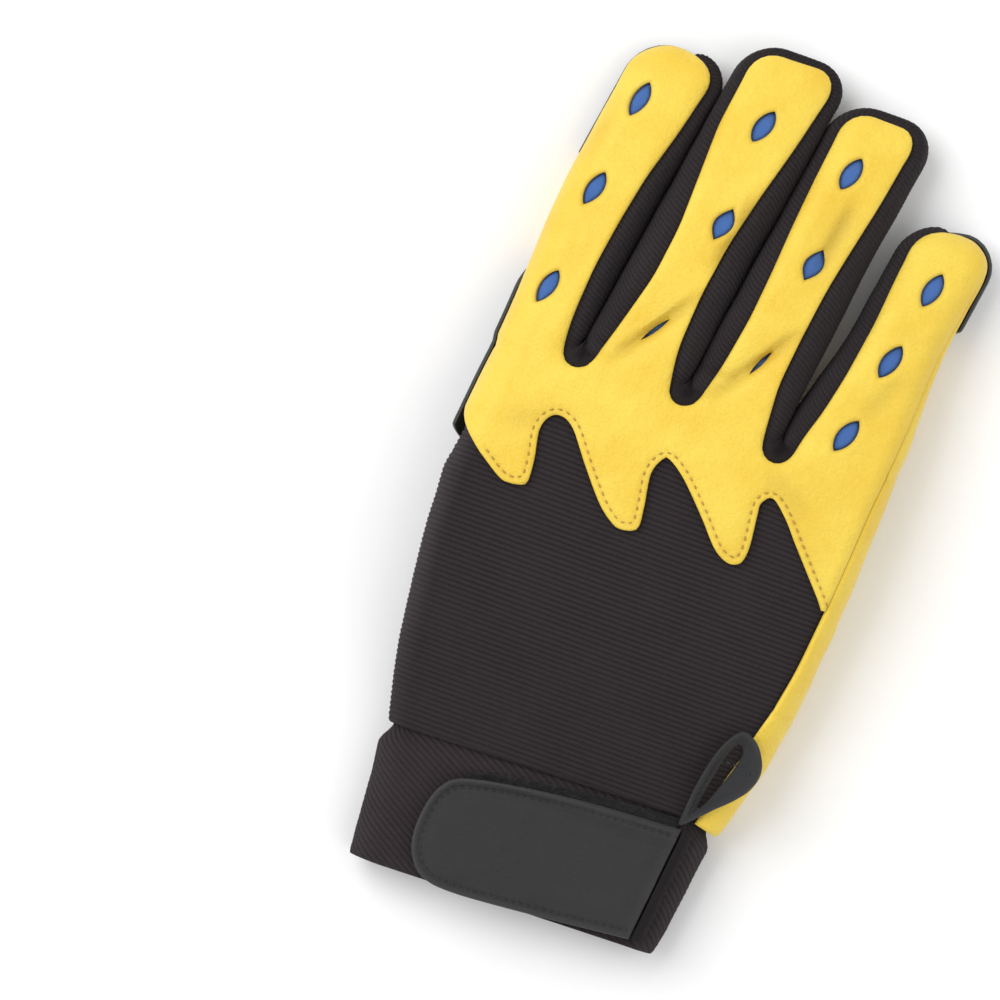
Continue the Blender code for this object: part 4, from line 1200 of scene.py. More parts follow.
@dataclass(frozen=True)
class YellowLeather:
    """Soft yellow grain leather, with painted shade that colours it a little deeper in its hollows."""

    colour: tuple[float, float, float] = (0.86, 0.635, 0.078)
    deep: tuple[float, float, float] = (0.80, 0.52, 0.040)

    def material(self, name: str) -> bpy.types.Material:
        """Makes the leather: pores, fine creases, cloudy dye and painted shade in folds, seams and at slot edges.

        Args:
            name: The material's name.

        Returns:
            The material.
        """
        shader = Shader(name)
        place = shader.layout()
        cloud = shader.ramp(shader.noise(place, 0.045, 3.0), 0.35, 0.75)
        base = shader.mix(cloud, opaque(self.colour), opaque(self.deep))
        fine = shader.ramp(shader.noise(place, 0.9, 5.0, 0.65), 0.30, 0.80)
        base = shader.mix(shader.times(fine, 0.22), base, opaque(self.deep, 0.80))
        # painted shade: the shade mask darkens the colour in folds, along seams and round the slots
        base = shader.mix(shader.times(shader.mask("shade"), 0.75), base, opaque(self.deep, 0.42))
        pores = shader.cells(shader.stretched(place, (1.0, 0.8, 1.0)), 1.5)
        creases = shader.cells(shader.stretched(place, (0.35, 0.9, 1.0), 0.5), 0.9, "DISTANCE_TO_EDGE")
        bump = shader.relief(pores, 0.00009)
        bump = shader.relief(shader.ramp(creases, 0.0, 0.18), 0.00005, bump)
        bump = shader.relief(shader.noise(place, 0.35, 4.0), 0.00035, bump)
        rough = shader.add("MapRange", {"Value": fine, "To Min": 0.46, "To Max": 0.62})
        return shader.dress(
            Base_Color=base,
            Roughness=Socket(rough, "Result"),
            Normal=bump,
            Specular_IOR_Level=0.38,
            Sheen_Weight=0.06,
            Sheen_Roughness=0.5,
        )


@dataclass(frozen=True)
class RibbedCloth:
    """Dark knit with a brown cast and a painted highlight that makes the ribs' crests lighter."""

    colour: tuple[float, float, float] = (0.0140, 0.0102, 0.0115)
    crest: tuple[float, float, float] = (0.052, 0.041, 0.044)
    yarn: float = 2.2

    def material(self, name: str) -> bpy.types.Material:
        """Makes the knit: painted highlight on the ribs' crests, yarn along each rib, lint and uneven dye.

        Args:
            name: The material's name.

        Returns:
            The material.
        """
        shader = Shader(name)
        place = shader.layout()
        yarn = shader.waves(shader.stretched(place, (1.0, 0.35, 1.0), 0.5), self.yarn, "X", 0.6)
        lint = shader.noise(place, 1.6, 6.0, 0.7)
        cloud = shader.noise(place, 0.05, 3.0)
        # painted highlight: the crest mask lightens the ribs' crests
        crest = shader.times(shader.mask("crest"), shader.ramp(lint, 0.2, 0.8))
        base = shader.mix(crest, opaque(self.colour), opaque(self.crest))
        base = shader.mix(shader.times(shader.ramp(cloud, 0.4, 0.8), 0.35), base, opaque(self.crest, 0.8))
        base = shader.mix(shader.times(shader.ramp(yarn, 0.55, 1.0), 0.25), base, opaque(self.crest, 1.25))
        bump = shader.relief(yarn, 0.00010)
        bump = shader.relief(lint, 0.00018, bump)
        return shader.dress(
            Base_Color=base,
            Roughness=0.88,
            Normal=bump,
            Specular_IOR_Level=0.22,
            Sheen_Weight=0.08,
            Sheen_Roughness=0.55,
            Sheen_Tint=(0.62, 0.55, 0.58, 1.0),
        )


@dataclass(frozen=True)
class BlueCloth:
    """Blue cloth woven from fine yarn."""

    colour: tuple[float, float, float] = (0.073, 0.205, 0.61)
    dark: tuple[float, float, float] = (0.012, 0.024, 0.060)

    def material(self, name: str) -> bpy.types.Material:
        """Makes the weave, with painted shade where the leather's edge overhangs it.

        Args:
            name: The material's name.

        Returns:
            The material.
        """
        shader = Shader(name)
        place = shader.layout()
        warp = shader.waves(place, 1.1, "Y", 0.3)
        weft = shader.waves(place, 0.9, "X", 0.3)
        weave = shader.times(warp, weft, "MAXIMUM")
        base = shader.mix(shader.ramp(weave, 0.35, 1.0), opaque(self.colour, 0.55), opaque(self.colour, 1.25))
        # painted shade: the shade mask darkens the cloth under the slots' edges
        base = shader.mix(shader.mask("shade"), base, opaque(self.dark))
        return shader.dress(
            Base_Color=base,
            Roughness=0.8,
            Normal=shader.relief(weave, 0.00016),
            Specular_IOR_Level=0.25,
            Sheen_Weight=0.2,
            Sheen_Roughness=0.5,
        )


@dataclass(frozen=True)
class GreyPad:
    """Charcoal synthetic leather with a fine matt grain."""

    colour: tuple[float, float, float] = (0.0210, 0.0245, 0.0260)
    worn: tuple[float, float, float] = (0.042, 0.047, 0.050)
    grain: float = 2.1

    def material(self, name: str) -> bpy.types.Material:
        """Makes the grain, lighter where edges are worn.

        Args:
            name: The material's name.

        Returns:
            The material.
        """
        shader = Shader(name)
        place = shader.layout()
        grain = shader.cells(place, self.grain, "DISTANCE_TO_EDGE")
        cloud = shader.ramp(shader.noise(place, 0.10, 4.0), 0.35, 0.8)
        fine = shader.ramp(shader.noise(place, 1.4, 5.0, 0.7), 0.3, 0.8)
        base = shader.mix(shader.times(cloud, 0.5), opaque(self.colour), opaque(self.worn, 0.85))
        base = shader.mix(shader.times(fine, 0.3), base, opaque(self.worn))
        base = shader.mix(shader.times(shader.mask("worn"), 0.7), base, opaque(self.worn, 1.5))
        bump = shader.relief(shader.ramp(grain, 0.0, 0.25), 0.00006)
        bump = shader.relief(fine, 0.00008, bump)
        return shader.dress(Base_Color=base, Roughness=0.6, Normal=bump, Specular_IOR_Level=0.35, Sheen_Weight=0.08)


@dataclass(frozen=True)
class WovenTape:
    """Black tape with a fine diagonal weave."""

    colour: tuple[float, float, float] = (0.0066, 0.0068, 0.0074)
    light: tuple[float, float, float] = (0.022, 0.023, 0.026)

    def material(self, name: str) -> bpy.types.Material:
        """Makes the tape's twill.

        Args:
            name: The material's name.

        Returns:
            The material.
        """
        shader = Shader(name)
        place = shader.layout()
        twill = shader.waves(shader.stretched(place, (1.0, 1.0, 1.0), 0.8), 1.6, "X", 0.2)
        cross = shader.waves(shader.stretched(place, (1.0, 1.0, 1.0), -0.8), 1.6, "X", 0.2)
        weave = shader.times(twill, cross, "MAXIMUM")
        base = shader.mix(shader.ramp(weave, 0.4, 1.0), opaque(self.colour), opaque(self.light))
        base = shader.mix(shader.times(shader.mask("worn"), 0.5), base, opaque(self.light, 1.4))
        return shader.dress(Base_Color=base, Roughness=0.55, Normal=shader.relief(weave, 0.0001), Sheen_Weight=0.1)


@dataclass(frozen=True)
class LoopPile:
    """Black curled loops of a fastener's soft half."""

    colour: tuple[float, float, float] = (0.0070, 0.0066, 0.0070)

    def material(self, name: str) -> bpy.types.Material:
        """Makes the fibre, a little lighter in places.

        Args:
            name: The material's name.

        Returns:
            The material.
        """
        shader = Shader(name)
        place = shader.layout()
        lint = shader.ramp(shader.noise(place, 2.5, 5.0, 0.7), 0.3, 0.8)
        base = shader.mix(lint, opaque(self.colour), opaque(self.colour, 3.2))
        return shader.dress(Base_Color=base, Roughness=0.85, Normal=shader.relief(lint, 0.0002), Sheen_Weight=0.04)


@dataclass(frozen=True)
class Thread:
    """Twisted sewing thread."""

    colour: tuple[float, float, float] = (0.58, 0.52, 0.38)

    def material(self, name: str) -> bpy.types.Material:
        """Makes the thread, with painted shade in the grooves of its twist.

        Args:
            name: The material's name.

        Returns:
            The material.
        """
        shader = Shader(name)
        place = shader.layout()
        twist = shader.waves(place, 1.2, "DIAGONAL", 0.0)
        # painted shade: the twist's grooves are coloured darker
        base = shader.mix(shader.ramp(twist, 0.2, 0.9), opaque(self.colour, 0.62), opaque(self.colour))
        return shader.dress(Base_Color=base, Roughness=0.6, Normal=shader.relief(twist, 0.00006), Sheen_Weight=0.1)


class Workshop:
    """Turns arrays into pieces of the scene and keeps the materials that they share."""

    def __init__(self) -> None:
        """Starts with no materials and no pieces."""
        self.materials: dict[str, bpy.types.Material] = {}
        self.pieces: list[bpy.types.Object] = []

    def material(self, finish: Finish) -> bpy.types.Material:
        """The material of a finish, made once.

        Args:
            finish: The finish.

        Returns:
            Its material.
        """
        key = repr(finish)
        if key not in self.materials:
            name = f"{type(finish).__name__}_{len(self.materials)}"
            self.materials[key] = finish.material(name)
        return self.materials[key]

    def piece(
        self,
        name: str,
        points: Places,
        faces: Sequence[Sequence[int]] | np.ndarray,
        finish: Finish,
        nodes: Sequence[str],
        layout: Places,
        masks: dict[str, np.ndarray] | None = None,
        sharp: float = 50.0,
    ) -> bpy.types.Object:
        """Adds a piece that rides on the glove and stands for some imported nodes.

        Args:
            name: The piece's name.
            points: Its points in millimetres.
            faces: Its faces as point numbers.
            finish: What it is made of.
            nodes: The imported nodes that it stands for.
            layout: Its laid out places, for the grain.
            masks: Numbers for each point that the finish reads.
            sharp: Edges sharper than this many degrees stay sharp.

        Returns:
            The piece.
        """
        mesh = bpy.data.meshes.new(name)
        if isinstance(faces, np.ndarray):
            faces = faces.tolist()
        mesh.from_pydata((points * METRES).tolist(), [], faces)
        mesh.validate()
        spots = np.zeros((len(points), 3))
        spots[:, : layout.shape[1]] = layout
        mesh.attributes.new("laid_out", "FLOAT_VECTOR", "POINT").data.foreach_set("vector", spots.ravel())
        for key, values in (masks or {}).items():
            mesh.attributes.new(key, "FLOAT", "POINT").data.foreach_set("value", np.asarray(values, float))
        mesh.shade_smooth()
        mesh.set_sharp_from_angle(angle=math.radians(sharp))
        mesh.materials.append(self.material(finish))
        piece = bpy.data.objects.new(name, mesh)
        bpy.context.scene.collection.objects.link(piece)
        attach(piece, "root")
        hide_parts(*nodes)
        self.pieces.append(piece)
        LOG.info("%s: %d points, %d faces", name, len(points), len(faces))
        return piece


@dataclass(frozen=True)
class Ribs:
    """Raised ribs of a knit: their pitch, height and the direction in which they run."""

    pitch: float = 1.4
    height: float = 0.30
    degrees: float = 0.0
    squeeze: float = 6.0
    rows_each: int = 5

    @property
    def turn(self) -> np.ndarray:
        """Turns places so that the ribs run along x."""
        a = math.radians(self.degrees)
        return np.array([[math.cos(a), math.sin(a)], [-math.sin(a), math.cos(a)]])

    def across(self, points: Places) -> np.ndarray:
        """How far each place is across the ribs."""
        a = math.radians(self.degrees)
        return points[:, 1] * math.cos(a) - points[:, 0] * math.sin(a)

    def crest(self, points: Places) -> np.ndarray:
        """How near each place is to a rib's crest, from 0 to 1."""
        return np.abs(np.sin(math.pi * self.across(points) / self.pitch)) ** 0.8

    def lattice(self, loop: Places, along: float) -> Places:
        """Places in rows that follow the ribs.

        Args:
            loop: The outline that they cover.
            along: Their distance along the ribs.

        Returns:
            The places.
        """
        turn = self.turn
        flat = loop @ turn.T
        low, high = flat.min(axis=0), flat.max(axis=0)
        rows = np.arange(low[1], high[1], self.pitch / self.rows_each)
        stops = np.arange(low[0], high[0], along)
        grid = np.array([(x + 0.5 * along * (n % 2), y) for n, y in enumerate(rows) for x in stops])
        return grid @ turn


@dataclass
class Sheet:
    """A sewn sheet: an outline laid out flat, filled finely, wrapped and given its thickness."""

    name: str
    outline: Places
    wrap: Wrap
    span: Span
    finish: Finish
    nodes: tuple[str, ...]
    holes: list[Places] = field(default_factory=list)
    pitch: float = 1.4
    roll: float = 0.55
    roll_width: float = 1.0
    hole_roll: float = 0.5
    seams: list[Places] = field(default_factory=list)
    seam_depth: float = 0.22
    groove: float = 0.7
    clearance: float = 0.12
    relief: Relief | None = None
    ribs: Ribs | None = None
    shade: Callable[[Places], np.ndarray] | None = None
    wear: float = 0.0

    @property
    def loops(self) -> list[Places]:
        """The outline and the holes."""
        return [self.outline] + self.holes

    def lattice(self) -> Places:
        """Inner places: rails along the edges and seams, and a lattice between them."""
        if self.ribs:
            grid = self.ribs.lattice(self.outline, 2.2)
        else:
            low, high = self.outline.min(axis=0), self.outline.max(axis=0)
            rows = np.arange(low[1], high[1], self.pitch * ROW_STEP)
            stops = np.arange(low[0], high[0], self.pitch)
            grid = np.array([(x + 0.5 * self.pitch * (n % 2), y) for n, y in enumerate(rows) for x in stops])
        spacing = 0.35 * self.ribs.pitch if self.ribs else 0.62 * self.pitch
        grid = grid[inside(grid, self.outline)]
        rails = []
        for loop in self.loops:
            for share in (0.35, 1.0):
                rails.append(inset(loop, share * self.roll_width * (1 if loop is self.outline else -1)))
        for seam in self.seams:
            ways = directions(seam)
            rails += [seam, seam + self.groove * ways, seam - self.groove * ways]
        rails = np.vstack(rails)
        keep = np.ones(len(grid), bool)
        for loop in self.loops:
            keep &= distance_to(grid, loop, True) > self.roll_width + 0.4 * spacing
        for seam in self.seams:
            keep &= distance_to(grid, seam) > self.groove + 0.4 * spacing
        return np.vstack([grid[keep], rails])

    def triangles(self) -> tuple[Places, np.ndarray]:
        """Fills the outline.

        Returns:
            The laid out places and the triangles between them.
        """
        inner = self.lattice()
        keep = inside(inner, self.outline) & (distance_to(inner, self.outline, True) > self.clearance)
        for hole in self.holes:
            keep &= ~inside(inner, hole) & (distance_to(inner, hole, True) > self.clearance)
        inner = inner[keep]
        places, edges = [], []
        for loop in self.loops:
            first = len(places)
            places += loop.tolist()
            edges += [(first + k, first + (k + 1) % len(loop)) for k in range(len(loop))]
        places = np.vstack([np.array(places), inner])
        squeeze = np.eye(2)
        if self.ribs:
            squeeze = self.ribs.turn.T @ np.diag([1.0, self.ribs.squeeze]) @ self.ribs.turn
        flat = places @ squeeze.T
        vertices, _, faces, _, _, _ = delaunay_2d_cdt([tuple(p) for p in flat], edges, [], 0, WELD)
        vertices = np.array([(p.x, p.y) for p in vertices]) @ np.linalg.inv(squeeze).T
        faces = np.array([face for face in faces if len(face) == 3])
        centres = vertices[faces].mean(axis=1)
        keep = inside(centres, self.outline)
        for hole in self.holes:
            keep &= ~inside(centres, hole)
        return vertices, faces[keep]

    def build(self, workshop: Workshop) -> bpy.types.Object:
        """Wraps the filled outline and adds it to the scene.

        Args:
            workshop: Where the piece is made.

        Returns:
            The piece.
        """
        places, faces = self.triangles()
        edge = distance_to(places, self.outline, True)
        fall = self.roll * (1 - np.clip(edge / self.roll_width, 0, 1)) ** 2
        hole_edge = np.full(len(places), FAR)
        for hole in self.holes:
            hole_edge = np.minimum(hole_edge, distance_to(places, hole, True))
        fall = np.maximum(fall, self.hole_roll * (1 - np.clip(hole_edge / self.roll_width, 0, 1)) ** 2)
        fall -= 0.14 * np.exp(-(((hole_edge - 1.6) / 0.8) ** 2))
        # painted shade: darker at the holes' rolled edges and in the seams' grooves
        shade = 0.55 * (1 - np.clip(hole_edge / 0.7, 0, 1))
        for seam in self.seams:
            off = distance_to(places, seam)
            fall += self.seam_depth * np.exp(-((off / 0.6) ** 2))
            shade = np.maximum(shade, 0.22 * np.exp(-((off / 0.7) ** 2)))
        if self.relief:
            fall = fall + self.relief(places, edge)
        masks = {"worn": self.wear * np.exp(-((edge / 0.8) ** 2))}
        if self.ribs:
            crest = self.ribs.crest(places)
            fall = fall + self.ribs.height * (1 - crest) * smooth(edge / 0.8)
            # the crest mask carries the painted highlight on the ribs' crests
            masks["crest"] = crest
        if self.shade:
            shade = np.maximum(shade, self.shade(places))
        masks["shade"] = shade
        outer = self.wrap(places, self.span[0] + fall)
        inner = self.wrap(places, self.span[1] + 0.35 * np.minimum(fall, 0.3))
        count = len(places)
        sides = np.vstack([faces[:, [0, 1]], faces[:, [1, 2]], faces[:, [2, 0]]])
        known = {(int(a), int(b)) for a, b in sides}
        rim = [(a, b) for a, b in known if (b, a) not in known]
        walls = [(b, a, a + count, b + count) for a, b in rim]
        normal = np.cross(outer[faces[:, 1]] - outer[faces[:, 0]], outer[faces[:, 2]] - outer[faces[:, 0]])
        middle = outer[faces].mean(axis=1) - inner[faces].mean(axis=1)
        top = faces.tolist()
        under = (faces[:, ::-1] + count).tolist()
        if (normal * middle).sum() < 0:
            top, under = faces[:, ::-1].tolist(), (faces + count).tolist()
            walls = [wall[::-1] for wall in walls]
        masks = {key: np.concatenate([values, values]) for key, values in masks.items()}
        return workshop.piece(
            self.name,
            np.vstack([outer, inner]),
            top + under + walls,
            self.finish,
            self.nodes,
            np.vstack([places, places]),
            masks,
        )


@dataclass
class StitchRow:
    """A row of stitches, each a short thread that dips into the sheet at both ends."""

    name: str
    paths: list[Places]
    wrap: Wrap
    depth: float
    finish: Thread
    node: str
    pitch: float = 2.4
    share: float = 0.68
    radius: float = 0.24
    dip: float = 0.30
    around: int = 6
    probe: float = 0.5
    profile: Rows = (
        (0.0, -1.0, 0.55), (0.12, -0.1, 0.95), (0.35, 0.75, 1.0),
        (0.65, 0.75, 1.0), (0.88, -0.1, 0.95), (1.0, -1.0, 0.55),
    )  # fmt: skip

    def build(self, workshop: Workshop) -> bpy.types.Object:
        """Lays the stitches along their paths.

        Args:
            workshop: Where the piece is made.

        Returns:
            The joined stitches.
        """
        starts, ends = [], []
        for path in self.paths:
            spots = resampled(path, self.pitch)
            legs = np.diff(spots, axis=0)
            middle = (spots[:-1] + spots[1:]) / 2
            starts.append(middle - legs * self.share / 2)
            ends.append(middle + legs * self.share / 2)
        start, end = np.vstack(starts), np.vstack(ends)
        shares, rise, width = np.array(self.profile).T
        count, rings = len(start), len(shares)
        places = (start[:, None] + (end - start)[:, None] * shares[None, :, None]).reshape(-1, 2)
        lift = np.tile(np.where(rise > 0, rise * self.radius, rise * self.dip), count)
        centre = self.wrap(places, self.depth - lift).reshape(count, rings, 3)
        below = self.wrap(places, self.depth - lift + self.probe).reshape(count, rings, 3)
        up = centre - below
        up /= np.linalg.norm(up, axis=2)[..., None]
        way = np.gradient(centre, axis=1)
        way /= np.linalg.norm(way, axis=2)[..., None]
        side = np.cross(way, up)
        side /= np.linalg.norm(side, axis=2)[..., None]
        points = tubes(centre, side, up, (self.radius * width)[None, :, None, None], self.around)
        faces = tube_faces(count, rings, self.around)
        return workshop.piece(self.name, points, faces, self.finish, (self.node,), points, sharp=80.0)


@dataclass
class Part:
    """A sub-assembly of the glove."""

    form: GloveForm
    workshop: Workshop
    leather: YellowLeather = YellowLeather()
    pad: GreyPad = GreyPad()
    cream: Thread = Thread()
    brown: Thread = Thread((0.62, 0.36, 0.055))
    rows_in: Span = (1.5, 3.0)

    @property
    def size(self) -> Sizes:
        """The glove's driving sizes."""
        return self.form.sizes

    @property
    def leather_span(self) -> Span:
        """Depths between which leather lies."""
        return 0.0, self.size.leather

    @property
    def cloth_span(self) -> Span:
        """Depths between which cloth lies that is lapped by leather."""
        return self.size.cloth_depth, self.size.cloth_depth + self.size.cloth

    @property
    def pad_span(self) -> Span:
        """Depths between which a sewn-on pad lies."""
        return -self.size.pad_stack, -self.size.seam_gap

    def sheet(
        self, node: str, kind: str, outline: Places, wrap: Wrap, span: Span, finish: Finish, **more: object
    ) -> bpy.types.Object:
        """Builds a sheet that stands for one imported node.

        Args:
            node: The node's name, which starts the sheet's own.
            kind: How the sheet's name ends.
            outline: Its laid out outline.
            wrap: How it is wrapped.
            span: The depths between which it lies.
            finish: What it is made of.
            **more: Its other values.

        Returns:
            The piece.
        """
        return Sheet(f"{node}_{kind}", outline, wrap, span, finish, (node,), **more).build(self.workshop)

    def sewn_pad(
        self, node: str, outline: Places, wrap: Wrap, rows: list[Places], **more: object
    ) -> bpy.types.Object:
        """Builds a charcoal patch and its stitches.

        Args:
            node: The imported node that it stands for.
            outline: Its laid out outline.
            wrap: How it is wrapped.
            rows: Its stitch lines.
            **more: Other values of its sheet.

        Returns:
            The patch.
        """
        patch = self.sheet(node, "skin", outline, wrap, self.pad_span, self.pad, seams=rows, wear=0.7, **more)
        depth = -self.size.pad_stack + 0.10
        StitchRow(f"{node}_stitches", rows, wrap, depth, self.cream, node, 2.3, 0.66).build(self.workshop)
        return patch

    def puffs(self, seed: int, high: float = 0.2) -> Relief:
        """Relief of leather that is not quite flat, at three scales, none of it at the sheet's edge.

        Args:
            seed: Which unevenness.
            high: The height of the widest waves.

        Returns:
            A function of laid out places and their distance to the edge.
        """
        wide, middle, fine = SoftNoise(seed, 19.0), SoftNoise(seed + 1, 8.0), SoftNoise(seed + 2, 3.4)

        def relief(points: Places, edge: np.ndarray) -> np.ndarray:
            """Depth added at each place."""
            waves = high * wide.at(points) + 0.5 * high * middle.at(points) + 0.18 * high * fine.at(points)
            return waves * smooth(edge / 3.0)

        return relief

    def padding(self, seed: int, high: float) -> Relief:
        """Relief of a padded patch that swells inside its stitches.

        Args:
            seed: Which unevenness.
            high: How far it swells.

        Returns:
            A function of laid out places and their distance to the edge.
        """
        puffs = self.puffs(seed, 0.08)

        def relief(points: Places, edge: np.ndarray) -> np.ndarray:
            """Depth added at each place."""
            return puffs(points, edge) - high * smooth((edge - 3.4) / 4.0)

        return relief

    def rows(self, path: Places, insets: Sequence[float], closed: bool = False) -> list[Places]:
        """Stitch lines beside a path, or inside a loop."""
        lines = [inset(path, distance, closed) for distance in insets]
        return [np.vstack([line, line[:1]]) for line in lines] if closed else lines


@dataclass
class BackPanel(Part):
    """Yellow leather over the knuckles and the fingers' backs, with its eye slots and their lining."""

    lining: BlueCloth = BlueCloth()
    stitch_inset: float = 1.8
    slot_points: int = 36
    liner_width: float = 7.6
    liner_swell: float = 0.45
    left_foot: float = 0.81
    right_foot: float = 0.63
    edge: Rows = (
        (-50, 77), (-43, 72.5), (-40, 71.8), (-36.4, 72.4), (-35.1, 74.0), (-35.5, 80), (-37, 88), (-35.5, 92.2),
        (-32.5, 93.2), (-28.5, 91), (-22.5, 83.5), (-15, 74.8), (-10, 71), (-7.5, 70.3), (-4.3, 71.0), (-3.0, 72.8),
        (-3.5, 78), (-4.9, 87), (-3.3, 91.7), (-1.5, 92.2), (4, 88.5), (12, 80.5), (18, 74), (22.5, 71.6),
        (25.4, 72.2), (26.5, 74.2), (26.7, 78), (25.7, 86), (25.5, 89.5), (28, 91.8), (33, 88), (38, 82.5),
        (44, 76), (51.2, 68.2),
    )  # fmt: skip
    slots: tuple[Slot, ...] = (
        Slot("index", 0.811, -0.464, 0.090, 0.043, 2, 0.80),
        Slot("index", 0.517, -0.455, 0.088, 0.043, 6, 0.85),
        Slot("index", 0.200, -0.442, 0.088, 0.043, 9, 0.80),
        Slot("middle", 0.781, -0.176, 0.086, 0.043, 8, 0.75),
        Slot("middle", 0.497, -0.148, 0.084, 0.045, 4, 1.10),
        Slot("middle", 0.171, -0.170, 0.076, 0.011, 28, 0.80),
        Slot("ring", 0.797, 0.059, 0.086, 0.043, 6, 0.75),
        Slot("ring", 0.512, 0.084, 0.084, 0.045, 4, 1.10),
        Slot("ring", 0.196, 0.084, 0.070, 0.011, 18, 0.80),
        Slot("little", 0.755, 0.359, 0.088, 0.043, 4, 0.80),
        Slot("little", 0.439, 0.351, 0.088, 0.043, 8, 0.80),
        Slot("little", 0.114, 0.340, 0.088, 0.043, 14, 0.80),
    )

    def slot_middle(self, slot: Slot) -> Places:
        """Where a slot's middle is laid out."""
        finger = next(f for f in self.size.fingers if f.name == slot.finger)
        return np.array([slot.x * self.size.hand_width, self.size.palm_length + slot.along * finger.length])

    def slot_loop(self, slot: Slot) -> Places:
        """The outline of one slot, pointed at both ends.

        Args:
            slot: The slot.

        Returns:
            Its outline.
        """
        turn = np.linspace(0, math.tau, self.slot_points, endpoint=False)
        long = np.cos(turn) * slot.long * self.size.hand_width / 2
        wide = np.sign(np.sin(turn)) * np.abs(np.sin(turn)) ** (2 * slot.point) * slot.wide * self.size.hand_width / 2
        a = math.radians(90 - slot.tilt)
        x = long * math.cos(a) - wide * math.sin(a)
        v = long * math.sin(a) + wide * math.cos(a)
        return self.slot_middle(slot) + np.column_stack([x, v])

    def edge_path(self) -> Places:
        """The wavy lower edge, from the thumb side to the little finger side."""
        return rounded(self.edge, 0.9)

    def outline(self) -> Places:
        """The leather's laid out outline."""
        size, line = self.size, self.form.hand

        def held(stop: Stop) -> bool:
            """Whether the leather reaches this stop."""
            return stop.v >= (self.left_foot if stop.run is Run.LEFT else self.right_foot) * size.palm_length

        side = np.array([line.beyond(k, self.form.back_edge[k]) for k in line.where(held)])
        return divided(np.vstack([side, self.edge_path()[::-1]]), 1.3)

    def fold_painted_shade(self, points: Places) -> np.ndarray:
        """Painted shade: how much darker the leather is coloured in its sharp folds."""
        return 0.6 * self.form.fold_shade(points)

    def build_leather(self) -> None:
        """Builds the leather and its row of stitches."""
        row = self.rows(self.edge_path(), [self.stitch_inset])[0]
        self.sheet(
            "back_leather", "skin", self.outline(), self.form.on_back, self.leather_span, self.leather,
            holes=[self.slot_loop(slot) for slot in self.slots], pitch=1.25, seams=[row],
            relief=self.puffs(11, 0.26), shade=self.fold_painted_shade,
        )  # fmt: skip
        StitchRow(
            "back_leather_stitches", [row], self.form.on_back, 0.02, self.brown, "back_leather", share=0.5, radius=0.2
        ).build(self.workshop)

    def build_liners(self) -> None:
        """Builds the blue strips that show through the slots."""
        for finger in self.size.fingers:
            own = [slot for slot in self.slots if slot.finger == finger.name]
            middles = np.array([self.slot_middle(slot) for slot in own])[::-1]
            low, high = middles[0][1] - 3 * self.size.lap, middles[-1][1] + 3.5 * self.size.lap
            v = np.arange(low, high, 1.2)
            x = np.interp(v, middles[:, 1], middles[:, 0])
            half = self.liner_width / 2
            outline = np.vstack([np.column_stack([x - half, v]), np.column_stack([x + half, v])[::-1]])
            loops = [self.slot_loop(slot) for slot in own]

            def shade(points: Places, loops: list[Places] = loops) -> np.ndarray:
                """Painted shade: how dark the cloth is under a slot's edge."""
                near = np.min([distance_to(points, loop, True) for loop in loops], axis=0)
                return 1.0 - 0.9 * smooth(near / 0.9)

            def swell(points: Places, edge: np.ndarray, middles: Places = middles) -> np.ndarray:
                """The cloth swells a little into each slot."""
                near = np.min([np.linalg.norm(points - spot, axis=1) for spot in middles], axis=0)
                return -self.liner_swell * np.exp(-((near / 3.5) ** 2))

            self.sheet(
                f"slot_liner_{finger.name}", "cloth", outline, self.form.on_back, self.cloth_span, self.lining,
                pitch=0.8, relief=swell, shade=shade,
            )  # fmt: skip

    def build(self) -> None:
        """Builds the panel."""
        self.build_leather()
        self.build_liners()


@dataclass
class BackCloth(Part):
    """Dark ribbed cloth of the back, folded round the thumb side and on as the thumb's back."""

    cloth: RibbedCloth = RibbedCloth()
    ribs: Ribs = Ribs(1.4, 0.34, 0.0)
    top_share: float = 0.91
    corner_share: float = 0.70

    def under(self, points: Places) -> Places:
        """Laid out places, in the cloth, of places on the underside."""
        turn = self.form.left_line(points[:, 1])
        return np.column_stack([2 * turn - math.pi * self.size.rim - points[:, 0], points[:, 1]])

    def outline(self) -> Places:
        """The cloth's laid out outline: back, thumb side and underside in one."""
        form, size = self.form, self.size
        length, rim = size.palm_length, size.rim
        top, corner = self.top_share * length, self.corner_share * length
        nail = form.placed(self.size.nail_edge)
        held = form.hand.where(lambda stop: stop.run is Run.RIGHT and 0.03 * length < stop.v <= top)
        right = np.array([form.hand.beyond(k, form.back_edge[k] + size.lap / rim) for k in held])[::-1]
        bend = [
            (form.left_line(top), top),
            (form.left_line(0.82 * length) - 1.1 * rim, 0.82 * length),
            (form.left_line(corner) - 1.5 * rim, corner),
            (form.left_line(corner) - math.pi * rim, 0.97 * corner),
        ]
        line = form.thumb.points
        tip = int(line[:, 1].argmax())
        before, after = line[:tip], line[tip:]
        clear = before[:, 0] > form.left_line(before[:, 1]) + 2 * size.lap
        saddle = before[clear & (before[:, 1] < nail[0, 1] + size.lap)]
        strip = after[(after[:, 1] > 0.03 * length) & (after[:, 1] < nail[-1, 1] + size.lap)]
        crossing = nail[1:-1] + [0, 2 * size.lap]
        foot = np.array([(strip[-1, 0] - size.lap, 0.0)])
        below = self.under(np.vstack([saddle, crossing, strip, foot]))
        end = [
            (form.left_line(0.0) - math.pi * rim, 0.0),
            (form.left_line(0.0), 0.0),
            (right[0, 0] - size.lap, float(form.seam_place(right[0, 0]))),
        ]
        return divided(np.vstack([right, bend, below, end]), 1.3)

    def build(self) -> None:
        """Builds the cloth."""
        self.sheet(
            "back_fabric", "cloth", self.outline(), self.form.on_thumb_side, self.cloth_span, self.cloth,
            ribs=self.ribs, relief=self.puffs(31, 0.22),
        )  # fmt: skip


